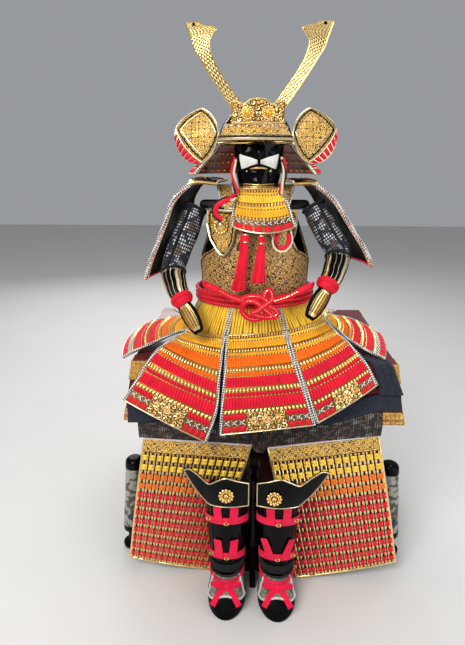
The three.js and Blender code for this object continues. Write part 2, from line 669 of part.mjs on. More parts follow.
add('apron_cloth', 'darkCloth', wall({
  at: (u, v) => {
    const x = mix(APRON.left, APRON.right, u);
    const z = mix(tapeLow(x) - APRON.seam, lookUp(APRON_HEM, 'x', x, 'z'), v);
    const back = THREE.MathUtils.clamp((CHEST.rim - z) / 25, 0, 1);
    return vec(x, mix(lidFront(z) - APRON.gap - CLOTH, APRON.hemY, back), z);
  },
  from: vec(0, 0, 150), vs: steps(2),
  us: [-119, -96, -73, -50, -26, -2, 0.5, 12, 14, 34, 54, 72, 90, 110, 129].map((x) => (
    (x - APRON.left) / (APRON.right - APRON.left))),
}));

const THIGH = {
  left: [[-114, -105, 146.6], [-2, -105, 141], [-131, -128, 15.5], [-47, -128, 2.5]],
  right: [[15, -105, 138], [127, -105, 155.2], [47, -135, 1.6], [151, -128, 19]],
};
const THIGH_SPLINTS = 13;

for (const [name, corners] of Object.entries(THIGH)) {
  const [topLeft, topRight, lowLeft, lowRight] = corners.map((c) => vec(...c));
  add(`thigh_guard_${name}`, 'lacing', wall({
    at: (u, v) => {
      const point = topLeft.clone().lerp(topRight, u).lerp(lowLeft.clone().lerp(lowRight, u), v);
      point.y -= 5 * Math.sin(Math.PI * v) + 2 * Math.sin(Math.PI * u) * v;
      return point;
    },
    from: vec(0, 0, 80), us: steps(2 * THIGH_SPLINTS), vs: [0, 0.12, 0.5, 0.95, 1],
    relief: (u, v) => (v > 0.1 && v < 0.97 ? ribRelief(2 * THIGH_SPLINTS, 0.9)(u) : 0),
  }));
}

// Brocade rolls on turned posts at the sides of the apron. 'lean' moves the axis out towards the foot.
const ROLL = { y: -90, radius: 9, lean: 7 };
const ROLL_PROFILE = table('z r', [
  [0, 11], [4, 11], [6, 5], [22, 5], [24, 9.6], [31, 9.6], [31.6, 9], [69, 9.3], [106, 9], [106.6, 9.6], [112, 9.4], [114, 6]]);

for (const [name, x, side] of [['left', -130, -1], ['right', 147, 1]]) {
  add(`thigh_roll_${name}`, 'brocade', loft(ROLL_PROFILE.map(({ z, r }) => {
    const shift = side * ROLL.lean * (107 - Math.max(z, 31)) / 76;
    return steps(12).slice(0, 12).map((t) => (
      vec(x + shift + r * Math.cos(2 * Math.PI * t), ROLL.y + r * Math.sin(2 * Math.PI * t), z)));
  })));
}

// Lower legs: shin guards open at the back, winged knee plates and brocade shoes on the floor

const LEG = {
  left: { x: -25.5, side: -1, wing: 1 },
  right: { x: 24.5, side: 1, wing: 1.14 },
};
const LEG_Y = -150;
const SHIN = table('z a b', [[32.8, 13.5, 13.5], [40, 16, 15], [60, 18, 17], [92, 20, 18.5], [121, 19.5, 18]]);
const SHIN_OPEN = rad(138);

const KNEE = table('x y top low', [
  [-21, -170.2, 141, 115], [-11, -172.6, 144.5, 115], [0, -173.6, 148, 115], [8, -172.4, 144, 115],
  [15.4, -169.6, 139, 115], [21, -167.5, 142, 119.5], [27, -165.5, 146.4, 126], [34, -162.5, 149.6, 135], [39, -160.5, 147.5, 143.5]]);

const KNEE_TUCK = 3;

const SHOE = table('z y a b', [[0, -160.5, 17.5, 29], [2, -160.5, 18.5, 30], [9, -160, 18.5, 29.5], [17, -157.5, 17.5, 25], [25, -154, 16.5, 20.5], [32, -151.5, 15.6, 16.6]]);
const SHOE_SOLE = 4;

for (const [name, { x, side, wing }] of Object.entries(LEG)) {
  const centre = { x, y: LEG_Y };
  add(`shin_guard_${name}`, 'blackLacquer', wall({
    at: (u, v) => {
      const z = mix(SHIN[SHIN.length - 1].z, SHIN[0].z, v);
      return around(centre, lookUp(SHIN, 'z', z, 'a'), lookUp(SHIN, 'z', z, 'b'), mix(-SHIN_OPEN, SHIN_OPEN, u), z);
    },
    from: vec(x, LEG_Y, 80), us: steps(14), vs: steps(5), thick: 1.8,
  }));
  const kneeColumns = KNEE.map((row, i) => ({ ...row, u: i / (KNEE.length - 1) }));
  add(`knee_plate_${name}`, 'blackLacquer', wall({
    at: (u, v) => {
      const reach = lookUp(kneeColumns, 'u', u, 'x');
      const top = lookUp(kneeColumns, 'u', u, 'top');
      const low = lookUp(kneeColumns, 'u', u, 'low');
      const out = reach > 0 ? reach * wing : reach;
      return vec(x + side * out, lookUp(kneeColumns, 'u', u, 'y') + KNEE_TUCK * v, mix(top, low, v));
    },
    from: vec(x, 0, 130), us: steps(2 * (KNEE.length - 1)), vs: steps(2), thick: 1.8,
  }));
  const ring = ({ z, y, a, b }, inset = 0) => steps(14).slice(0, 14).map((t) => (
    vec(x + (a - inset) * Math.cos(2 * Math.PI * t), y + (b - inset) * Math.sin(2 * Math.PI * t), z)));
  const inside = SHOE.slice(2).map((row) => ring(row, CLOTH));
  add(`shoe_${name}`, 'brocade', loft([ring({ ...SHOE[1], z: SHOE_SOLE }, CLOTH), ...inside, ...SHOE.map((row) => ring(row)).reverse()]));
}

// Leg stand: a floor plate that butts against the chest, a slim post between the shins and the bar they are tied to
{
  const bar = new THREE.BoxGeometry(76, 3.6, 6).translate(0.5, -134.1, 88);
  const link = new THREE.BoxGeometry(4, 14, 6).translate(0.5, -140, 88);
  const plate = new THREE.BoxGeometry(56, 40.6, 4).translate(0.5, -107.7, 2);
  const neck = new THREE.BoxGeometry(6, 34, 4).translate(0.5, -133, 2);
  const post = turned(0.5, -147, [[0, 0], [3.3, 0], [3.3, 140], [5, 143], [5.4, 148], [3.6, 152], [0, 153]], 12);
  add('leg_stand', 'blackLacquer', joined([plate, neck, post, link, bar]));
}

export default armour;
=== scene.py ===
# Miniature laced armour on its armour chest: the looks, built round the packed frame.
# Sizes are millimetres here and metres in the scene. +Z is up and the front faces -Y.
import math

import bmesh
import bpy
import mathutils
import numpy as np
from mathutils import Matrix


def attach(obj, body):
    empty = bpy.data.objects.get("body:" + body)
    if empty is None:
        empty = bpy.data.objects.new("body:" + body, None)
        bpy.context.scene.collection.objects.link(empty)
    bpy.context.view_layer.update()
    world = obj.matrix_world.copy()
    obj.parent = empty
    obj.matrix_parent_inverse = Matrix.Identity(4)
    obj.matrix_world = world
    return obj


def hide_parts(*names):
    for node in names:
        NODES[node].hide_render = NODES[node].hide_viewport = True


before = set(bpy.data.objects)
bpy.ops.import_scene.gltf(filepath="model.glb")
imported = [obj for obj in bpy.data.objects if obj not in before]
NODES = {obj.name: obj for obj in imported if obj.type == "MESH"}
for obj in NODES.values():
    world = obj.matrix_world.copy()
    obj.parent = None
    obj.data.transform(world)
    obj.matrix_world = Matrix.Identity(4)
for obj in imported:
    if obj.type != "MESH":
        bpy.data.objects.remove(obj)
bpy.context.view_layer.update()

bl_info = {
    "name": "Laced Armour Looks",
    "version": (1, 0, 0),
    "blender": (4, 5, 0),
    "location": "View3D > Sidebar > Armour",
    "description": "Dresses the packed armour with lacing, lacquer, leather, brocade and silk",
    "category": "Object",
}

MM = 0.001
TAU = 2 * math.pi
UP = (0, 0, 1)
GOLDEN_ANGLE = 2.399963
WELD = 0.00002
CLOTH = 1.8
BODY = (-1.0, -30.0)
HEAD = (-2.0, -32.0)


# Curves and tables

def table(columns, rows):
    names = columns.split()
    return {name: np.array([row[i] for row in rows], float) for i, name in enumerate(names)}


def look_up(rows, key, value, column):
    return np.interp(value, rows[key], rows[column])


def mix(a, b, t):
    return a + (b - a) * t


def points3(x, y, z):
    return np.stack(np.broadcast_arrays(x, y, z), -1).astype(float)


def around(centre, a, b, phi, z):
    return points3(centre[0] + a * np.sin(phi), centre[1] - b * np.cos(phi), z)


def smooth(points):
    """A smooth curve through the points; its parameter runs evenly from point to point."""
    p = np.asarray(points, float)
    p = np.concatenate([[2 * p[0] - p[1]], p, [2 * p[-1] - p[-2]]])
    last = len(p) - 4

    def at(t):
        place = np.clip(np.asarray(t, float), 0, 1) * (last + 1)
        i = np.minimum(place.astype(int), last)
        w = (place - i)[..., None]
        a, b, c, d = p[i], p[i + 1], p[i + 2], p[i + 3]
        ta, tb = (c - a) / 2, (d - b) / 2
        return b + ta * w + (3 * (c - b) - 2 * ta - tb) * w ** 2 + (2 * (b - c) + ta + tb) * w ** 3

    return at


def unit(v):
    return v / np.maximum(np.linalg.norm(v, axis=-1, keepdims=True), 1e-9)


def walk(path):
    """How far along the path each of its points lies."""
    return np.concatenate([[0], np.cumsum(np.linalg.norm(np.diff(path, axis=0), axis=1))])


def both(u, v):
    return np.broadcast_arrays(np.asarray(u, float), v)


class Surface:
    """A sheet at(u, v) with its outward normal, away from the point 'inside'."""

    def __init__(self, at, inside):
        self.at = at
        half = np.array(0.5)
        middle = at(half, half)
        self.side = 1.0
        self.side = float(np.sign(np.dot(self.normal(half, half), middle - np.array(inside, float))))

    def normal(self, u, v):
        e = 1e-3
        du = self.at(u + e, v) - self.at(u - e, v)
        dv = self.at(u, np.minimum(v + e, 1)) - self.at(u, np.maximum(v - e, 0))
        return unit(np.cross(du, dv)) * self.side

    def out(self, u, v, height):
        u, v, height = np.broadcast_arrays(np.asarray(u, float), v, height)
        return self.at(u, v) + self.normal(u, v) * height[..., None]

    def spot(self, u, v, height):
        """One point off the surface, and the normal there."""
        u, v = np.array(u, float), np.array(v, float)
        return self.out(u, v, np.array(height)), self.normal(u, v)

    def flat(self, u, v):
        """The UVs in mm."""
        width, length = self.size()
        return np.stack([u * width, v * length], -1)

    def size(self, n=24):
        """Rough width and length in mm, along the middle lines."""
        t = np.linspace(0, 1, n)
        across = self.at(t, np.full(n, 0.5))
        along = self.at(np.full(n, 0.5), t)
        return [float(np.linalg.norm(np.diff(p, axis=0), axis=1).sum()) for p in (across, along)]


# Meshes

class Shape:
    """Grids of points gathered into one mesh, with UVs in mm and a material number a face."""

    def __init__(self):
        self.points = []
        self.quads = []
        self.uvs = []
        self.slots = []
        self.count = 0

    def grids(self, points, uv, slot=0, flip=False, closed=False):
        """points is (count, rows, columns, 3); closed joins the last row of points to the first."""
        points = np.asarray(points, float)
        n, rows, cols, _ = points.shape
        uv = np.broadcast_to(uv, (n, rows, cols, 2))
        index = np.arange(n * rows * cols).reshape(n, rows, cols) + self.count
        below = np.roll(index, -1, axis=1) if closed else index[:, 1:]
        above = index if closed else index[:, :-1]
        uv_below = np.roll(uv, -1, axis=1) if closed else uv[:, 1:]
        uv_above = uv if closed else uv[:, :-1]
        corners = [above[..., :-1], above[..., 1:], below[..., 1:], below[..., :-1]]
        maps = [uv_above[:, :, :-1], uv_above[:, :, 1:], uv_below[:, :, 1:], uv_below[:, :, :-1]]
        if flip:
            corners.reverse()
            maps.reverse()
        quads = np.stack(corners, -1).reshape(-1, 4)
        self.points.append(points.reshape(-1, 3))
        self.quads.append(quads)
        self.uvs.append(np.stack(maps, -2).reshape(-1, 2))
        each = len(quads) // n
        self.slots.append(np.repeat(np.broadcast_to(slot, n), each))
        self.count += n * rows * cols

    def make(self, name, finishes, stands_for=(), angle=45, weld=False):
        points = np.concatenate(self.points) * MM
        quads = np.concatenate(self.quads).astype(np.int32)
        uvs = np.concatenate(self.uvs)
        mesh = bpy.data.meshes.new(name)
        mesh.vertices.add(len(points))
        mesh.vertices.foreach_set("co", points.ravel())
        mesh.loops.add(quads.size)
        mesh.loops.foreach_set("vertex_index", quads.ravel())
        mesh.polygons.add(len(quads))
        mesh.polygons.foreach_set("loop_start", np.arange(0, quads.size, 4, dtype=np.int32))
        mesh.polygons.foreach_set("material_index", np.concatenate(self.slots).astype(np.int32))
        mesh.uv_layers.new(name="UVMap").uv.foreach_set("vector", uvs.astype(np.float32).ravel())
        mesh.update(calc_edges=True)
        mesh.validate()
        if weld:
            welded = bmesh.new()
            welded.from_mesh(mesh)
            bmesh.ops.remove_doubles(welded, verts=welded.verts, dist=WELD)
            welded.to_mesh(mesh)
            welded.free()
        for finish in finishes:
            mesh.materials.append(finish)
        mesh.shade_smooth()
        mesh.set_sharp_from_angle(angle=math.radians(angle))
        piece = bpy.data.objects.new(name, mesh)
        bpy.context.scene.collection.objects.link(piece)
        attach(piece, "root")
        if stands_for:
            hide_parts(*stands_for)
        return piece

    def shell(self, surface, us, vs, thick=CLOTH, relief=0.0, slot=0, back=None, ring=False):
        """A closed wall: its outer face on the surface plus relief, its inner face 'thick' behind."""
        u, v = np.meshgrid(np.asarray(us, float), np.asarray(vs, float))
        high = relief(u, v) if callable(relief) else relief
        outer = surface.out(u, v, high)
        inner = surface.out(u, v, -thick)
        uv = surface.flat(u, v)
        flip = surface.side < 0
        behind = slot if back is None else back
        self.grids(outer[None], uv, slot, flip)
        self.grids(inner[None], uv, behind, not flip)
        cuts = (np.s_[0, :], np.s_[-1, :], np.s_[:, 0], np.s_[:, -1])
        for cut in cuts[:2] if ring else cuts:
            rim = np.stack([outer[cut], inner[cut]])
            rim_uv = np.stack([uv[cut], uv[cut] + thick])
            turned = (cut[0] == 0) if isinstance(cut[0], int) else (cut[1] == -1)
            self.grids(rim[None], rim_uv, slot, flip != turned)

    def arches(self, surface, u0, u1, v0, v1, height, slot=0, lift=0.0, m=4, n=3, skew=0.0, power=0.5):
        """Small raised strips, one for each entry of the arrays, rounded across u and dipping at the ends."""
        u0, u1, v0, v1 = [np.atleast_1d(np.asarray(x, float)) for x in np.broadcast_arrays(u0, u1, v0, v1)]
        a, b = np.meshgrid(np.linspace(0, 1, m + 1), np.linspace(0, 1, n + 1))
        u = mix(u0[:, None, None], u1[:, None, None], a + skew * (b - 0.5))
        v = mix(v0[:, None, None], v1[:, None, None], b)
        dome = (4 * a * (1 - a)) ** power * (1 - (2 * b - 1) ** 4 * 0.65)
        points = surface.out(u, v, lift + np.asarray(height, float).reshape(-1, 1, 1) * dome)
        self.grids(points, surface.flat(u, v), slot, surface.side < 0)

    def beads(self, centres, normals, radius, slot=0, sides=6, rings=2, flat=0.7):
        """Half round studs on their centres, standing along the normals."""
        centres, normals = np.asarray(centres, float), unit(np.asarray(normals, float))
        helper = np.where(np.abs(normals[:, 2:]) < 0.9, [[0.0, 0.0, 1.0]], [[1.0, 0.0, 0.0]])
        x = unit(np.cross(helper, normals))
        y = np.cross(normals, x)
        turn = np.linspace(0, TAU, sides + 1)
        rise = np.linspace(0, math.pi / 2, rings + 1)
        t, r = np.meshgrid(turn, rise)
        radius = np.broadcast_to(radius, len(centres)).reshape(-1, 1, 1, 1)
        local = (np.cos(r) * np.cos(t))[None, ..., None] * x[:, None, None]
        local = local + (np.cos(r) * np.sin(t))[None, ..., None] * y[:, None, None]
        local = local + flat * np.sin(r)[None, ..., None] * normals[:, None, None]
        uv = np.stack([t, r], -1)
        self.grids(centres[:, None, None] + radius * local, uv, slot)

    def stud(self, surface, u, v, height, radius, *looks):
        point, normal = surface.spot(u, v, height)
        self.beads([point], [normal], radius, *looks)

    def tube(self, path, radius, slot=0, sides=8, caps=True, squash=1.0, up=UP):
        """A round or flattened tube along points; radius may be one for each point."""
        path = np.asarray(path, float)
        radius = np.broadcast_to(radius, len(path)).astype(float)
        if caps:
            ends = (path[0] - unit(path[1] - path[0]) * radius[0] * 0.4,
                    path[-1] + unit(path[-1] - path[-2]) * radius[-1] * 0.4)
            path = np.concatenate([[ends[0]], path, [ends[1]]])
            radius = np.concatenate([[radius[0] * 0.05], radius, [radius[-1] * 0.05]])
        along = unit(np.gradient(path, axis=0))
        across = np.empty_like(path)
        side = np.cross(along[0], np.array(up, float))
        if np.linalg.norm(side) < 0.1:
            side = np.cross(along[0], [1.0, 0.0, 0.0])
        for i, tangent in enumerate(along):
            side = side - tangent * np.dot(side, tangent)
            side = side / np.linalg.norm(side)
            across[i] = side
        over = np.cross(across, along)
        turn = np.linspace(0, TAU, sides + 1)
        ring = (across[:, None] * np.cos(turn)[:, None] + over[:, None] * (squash * np.sin(turn))[:, None])
        points = path[:, None] + radius[:, None, None] * ring
        uv = np.stack(np.meshgrid(turn * np.mean(radius), walk(path)), -1)
        self.grids(points[None], uv, slot)


def steps(count):
    return np.linspace(0, 1, count + 1)


# Materials

class Value:
    """A socket of a node tree; arithmetic on it adds Math nodes."""

    def __init__(self, finish, socket):
        self.finish = finish
        self.socket = socket

    def math(self, operation, *others):
        values = {0: self, **{i + 1: other for i, other in enumerate(others)}}
        return self.finish.node("ShaderNodeMath", {"operation": operation}, values)

    def reversed_math(self, operation, other):
        return self.finish.node("ShaderNodeMath", {"operation": operation}, {0: other, 1: self})

    def __add__(self, other):
        return self.math("ADD", other)

    def __radd__(self, other):
        return self.math("ADD", other)

    def __sub__(self, other):
        return self.math("SUBTRACT", other)

    def __rsub__(self, other):
        return self.reversed_math("SUBTRACT", other)

    def __mul__(self, other):
        return self.math("MULTIPLY", other)

    def __rmul__(self, other):
        return self.math("MULTIPLY", other)

    def __gt__(self, other):
        return self.math("GREATER_THAN", other)

    def __lt__(self, other):
        return self.math("LESS_THAN", other)


class Finish:
    """One material: its shader's own values, and one method that adds any other node."""

    def __init__(self, name, colour, roughness=0.5, metallic=0.0, **shader):
        self.material = bpy.data.materials.new(name)
        self.material.use_nodes = True
        self.tree = self.material.node_tree
        self.shader = self.tree.nodes["Principled BSDF"]
        self.set("Base Color", (*colour, 1))
        self.set("Roughness", roughness)
        self.set("Metallic", metallic)
        for key, value in shader.items():
            self.set(key.replace("_", " ").title().replace("Ior", "IOR"), value)
        self.material.diffuse_color = (*colour, 1)

    def set(self, name, value):
        self.join(self.shader.inputs[name], value)

    def join(self, socket, value):
        if isinstance(value, Value):
            self.tree.links.new(value.socket, socket)
        else:
            socket.default_value = value

    def node(self, kind, settings=None, values=None, out=0):
        node = self.tree.nodes.new(kind)
        for key, value in (settings or {}).items():
            setattr(node, key, value)
        for key, value in (values or {}).items():
            self.join(node.inputs[key], value)
        return Value(self, node.outputs[out])

    def cloth_place(self, scale=1.0, turn=0.0):
        """The mesh's own UVs, which are in mm, times scale, and turned in their plane."""
        place = self.node("ShaderNodeUVMap", {"uv_map": "UVMap"})
        return self.node("ShaderNodeMapping", None, {
            "Vector": place, "Scale": (scale, scale, scale), "Rotation": (0, 0, turn)})

    def solid_place(self, scale=1.0, turn=(0, 0, 0)):
        """The place in the frame, in mm, times scale."""
        place = self.node("ShaderNodeTexCoord", None, None, "Object")
        size = scale / MM
        return self.node("ShaderNodeMapping", None, {
            "Vector": place, "Scale": (size, size, size), "Rotation": turn})

    def noise(self, place, scale, detail=3.0, roughness=0.5):
        values = {"Vector": place, "Scale": scale, "Detail": detail, "Roughness": roughness}
        return self.node("ShaderNodeTexNoise", None, values, "Fac")

    def cells(self, place, scale, feature="F1", out="Distance"):
        return self.node("ShaderNodeTexVoronoi", {"feature": feature}, {"Vector": place, "Scale": scale}, out)

    def wave(self, place, scale, kind="BANDS", direction="X", distortion=0.0, detail=0.0):
        settings = {"wave_type": kind, f"{kind.lower()}_direction": direction}
        values = {"Vector": place, "Scale": scale, "Distortion": distortion, "Detail": detail}
        return self.node("ShaderNodeTexWave", settings, values, "Fac")

    def blend(self, factor, a, b):
        a, b = [x if isinstance(x, Value) else (*x, 1) for x in (a, b)]
        return self.node("ShaderNodeMix", {"data_type": "RGBA"}, {0: factor, 6: a, 7: b}, 2)

    def bump(self, height, distance=0.2, strength=1.0):
        values = {"Height": height, "Distance": distance * MM, "Strength": strength}
        self.set("Normal", self.node("ShaderNodeBump", None, values))

    def range(self, value, low, high, start, end):
        values = {0: value, 1: low, 2: high, 3: start, 4: end}
        return self.node("ShaderNodeMapRange", None, values)


def shade(colour, amount):
    return tuple(min(1.0, c * amount) for c in colour)


def silk(name, colour, thread=0.32, sheen=0.06):
    """Braided silk: fine threads along the lace, uneven dye and a soft gloss."""
    f = Finish(name, colour, 0.55, 0, sheen_weight=sheen, sheen_roughness=0.4, specular_ior_level=0.25)
    place = f.cloth_place()
    threads = f.wave(place, 1 / thread / 6.28, direction="DIAGONAL", distortion=1.5, detail=1.0)
    dye = f.noise(f.solid_place(), 0.09, 2.0)
    tone = f.blend(f.range(dye, 0.3, 0.7, 0.0, 1.0), shade(colour, 0.84), shade(colour, 1.12))
    f.set("Base Color", f.blend(threads * 0.3, tone, shade(colour, 0.55)))
    f.set("Roughness", f.range(threads, 0.0, 1.0, 0.45, 0.7))
    f.bump(threads, 0.12)
    return f.material


def speckled_braid(name, third=None, pitch=1.7):
    """Edge braid of black and white checks, with a third colour where one is given."""
    f = Finish(name, (0.5, 0.5, 0.5), 0.65, 0, sheen_weight=0.2)
    place = f.cloth_place(1 / pitch, 0.7)
    checks = f.node("ShaderNodeTexChecker", None, {
        "Vector": place, "Color1": (0.01, 0.01, 0.012, 1), "Color2": (0.86, 0.84, 0.78, 1), "Scale": 1.0}, 0)
    colour = checks
    if third:
        bands = f.wave(place, 0.16, direction="Y", distortion=0.6)
        colour = f.blend(bands > 0.82, checks, third)
    wisp = f.noise(f.cloth_place(), 1.4, 3.0)
    f.set("Base Color", f.blend(f.range(wisp, 0.35, 0.75, 0.0, 0.35), colour, (0.25, 0.22, 0.2)))
    f.bump(wisp, 0.15)
    return f.material


def gilt(name, colour=(0.83, 0.53, 0.16), roughness=0.28, wear=0.25):
    """Gilt metal with rubbed tone, small dents and dust in the hollows."""
    f = Finish(name, colour, roughness, 1.0)
    place = f.solid_place()
    tone = f.noise(place, 0.22, 4.0)
    fine = f.noise(place, 1.6, 3.0)
    dark = shade(colour, 0.45)
    f.set("Base Color", f.blend(f.range(tone, 0.35, 0.75, 0.0, wear * 2), colour, dark))
    f.set("Roughness", f.range(fine, 0.3, 0.7, roughness * 0.75, roughness * 1.5))
    f.bump(fine, 0.06, 0.6)
    return f.material


def lacquer(name, colour, roughness=0.14, coat=0.2, specular=0.28):
    """Brushed lacquer: deep gloss, faint orange peel and a dull haze here and there."""
    f = Finish(name, colour, roughness, 0.0, coat_weight=coat, coat_roughness=0.03,
               specular_ior_level=specular)
    place = f.solid_place()
    haze = f.noise(place, 0.05, 4.0)
    peel = f.noise(place, 0.35, 2.0)
    f.set("Base Color", f.blend(f.range(haze, 0.3, 0.7, 0.0, 0.5), colour, shade(colour, 1.7)))
    f.set("Roughness", f.range(haze, 0.3, 0.7, roughness * 0.7, roughness * 1.8))
    f.bump(peel, 0.05, 0.5)
    return f.material


def printed_leather(name, ground=(0.74, 0.44, 0.13), figure=(0.020, 0.012, 0.010), size=8.0, metallic=0.3,
                    flat=True, cover=0.15):
    """Gilt leather with a lattice and small scrolls in dark lacquer, grain and rubbed high places."""
    f = Finish(name, ground, 0.5, metallic)
    solid = f.solid_place()
    place = f.cloth_place(1 / size, 0.785) if flat else f.solid_place(1 / size)
    wobble = f.noise(place, 3.0, 2.0)
    regular = {"Vector": place, "Scale": 1.0, "Randomness": 0.0}
    square = f.node("ShaderNodeTexVoronoi", {"distance": "CHEBYCHEV"}, regular, "Distance")
    circle = f.node("ShaderNodeTexVoronoi", None, regular, "Distance")
    rings = f.node("ShaderNodeMath", {"operation": "SINE"}, {0: circle * 24.0 + wobble * 13.0})
    lattice = (square + wobble * 0.03) > 0.468
    figures = f.node("ShaderNodeMath", {"operation": "MAXIMUM"}, {0: rings > cover, 1: lattice})
    rubbed = f.noise(solid, 0.6, 4.0)
    mask = figures * f.range(rubbed, 0.3, 0.5, 0.35, 1.0)
    tone = f.blend(f.range(f.noise(solid, 0.1, 2.0), 0.3, 0.7, 0.0, 1.0),
                   shade(ground, 0.8), shade(ground, 1.15))
    f.set("Base Color", f.blend(mask, tone, figure))
    f.set("Metallic", metallic - metallic * mask)
    f.set("Roughness", f.range(rubbed, 0.2, 0.8, 0.38, 0.62))
    f.bump(f.noise(solid, 2.2, 2.0) + figures * 0.5, 0.1, 0.7)
    return f.material


def basket(name, colour, pitch=2.5):
    """Gilt strips plaited on the slant, with a small dark gap at every crossing."""
    f = Finish(name, colour, 0.3, 1.0)
    place = f.cloth_place(1 / pitch, 0.785)
    regular = {"Vector": place, "Scale": 1.0, "Randomness": 0.0}
    reach = f.node("ShaderNodeTexVoronoi", None, regular, "Distance")
    wear = f.noise(f.solid_place(), 0.2, 3.0)
    tone = f.blend(f.range(wear, 0.35, 0.7, 0.0, 0.5), colour, shade(colour, 0.6))
    f.set("Base Color", f.blend(f.range(reach, 0.46, 0.54, 0.0, 1.0), tone, (0.030, 0.014, 0.004)))
    f.set("Roughness", f.range(wear, 0.3, 0.7, 0.24, 0.42))
    f.bump(0.6 - reach, 0.5)
    return f.material


def woven(name, ground, figure, glint, size=3.4, metallic=0.0, pitch=1.5, cover=0.5, gap=0.3):
    """Figured brocade: small generic sprigs over a grid of threads, with dark gaps between the threads."""
    f = Finish(name, ground, 0.6, metallic, sheen_weight=0.08, sheen_roughness=0.5)
    place = f.cloth_place()
    period = 0.314 / pitch
    warp = f.wave(place, period, direction="X", distortion=0.3)
    weft = f.wave(place, period, direction="Y", distortion=0.3)
    sprig = f.cells(place, 1 / size, "F1") + f.noise(place, 1.4 / size, 3.0) * 0.7
    second = f.cells(place, 0.37 / size) + f.noise(place, 2.0 / size, 2.0) * 0.5
    pattern = f.blend(f.range(sprig, cover + 0.28, cover + 0.36, 1.0, 0.0), ground, figure)
    pattern = f.blend(f.range(second, 0.50, 0.58, 1.0, 0.0), pattern, glint)
    holes = f.node("ShaderNodeMath", {"operation": "MINIMUM"}, {0: warp, 1: weft})
    f.set("Base Color", f.blend(f.range(holes, gap * 0.6, gap, 1.0, 0.0), pattern, shade(ground, 0.25)))
    f.set("Roughness", f.range(sprig, 0.2, 0.9, 0.42, 0.72))
    f.bump(warp + weft, 0.16)
    return f.material


def plain_cloth(name, colour, weave=0.45, roughness=0.9):
    """Plain cotton: a crossed weave, slubs and faded creases."""
    f = Finish(name, colour, roughness, 0.0, sheen_weight=0.06, sheen_roughness=0.6, specular_ior_level=0.2)
    place = f.cloth_place()
    warp = f.wave(place, 1 / weave / 6.28 * 2, direction="X", distortion=0.4)
    weft = f.wave(place, 1 / weave / 6.28 * 2, direction="Y", distortion=0.4)
    slub = f.noise(place, 0.25, 4.0)
    f.set("Base Color", f.blend(f.range(slub, 0.3, 0.75, 0.0, 0.8), shade(colour, 0.75), shade(colour, 1.8)))
    f.bump(warp + weft + slub, 0.18)
    return f.material


def wood_floor():
    f = Finish("pale_floor", (0.62, 0.61, 0.59), 0.6)
    haze = f.noise(f.solid_place(), 0.01, 3.0)
    f.set("Base Color", f.blend(f.range(haze, 0.3, 0.7, 0.0, 1.0), (0.61, 0.60, 0.585), (0.63, 0.62, 0.605)))
    return f.material


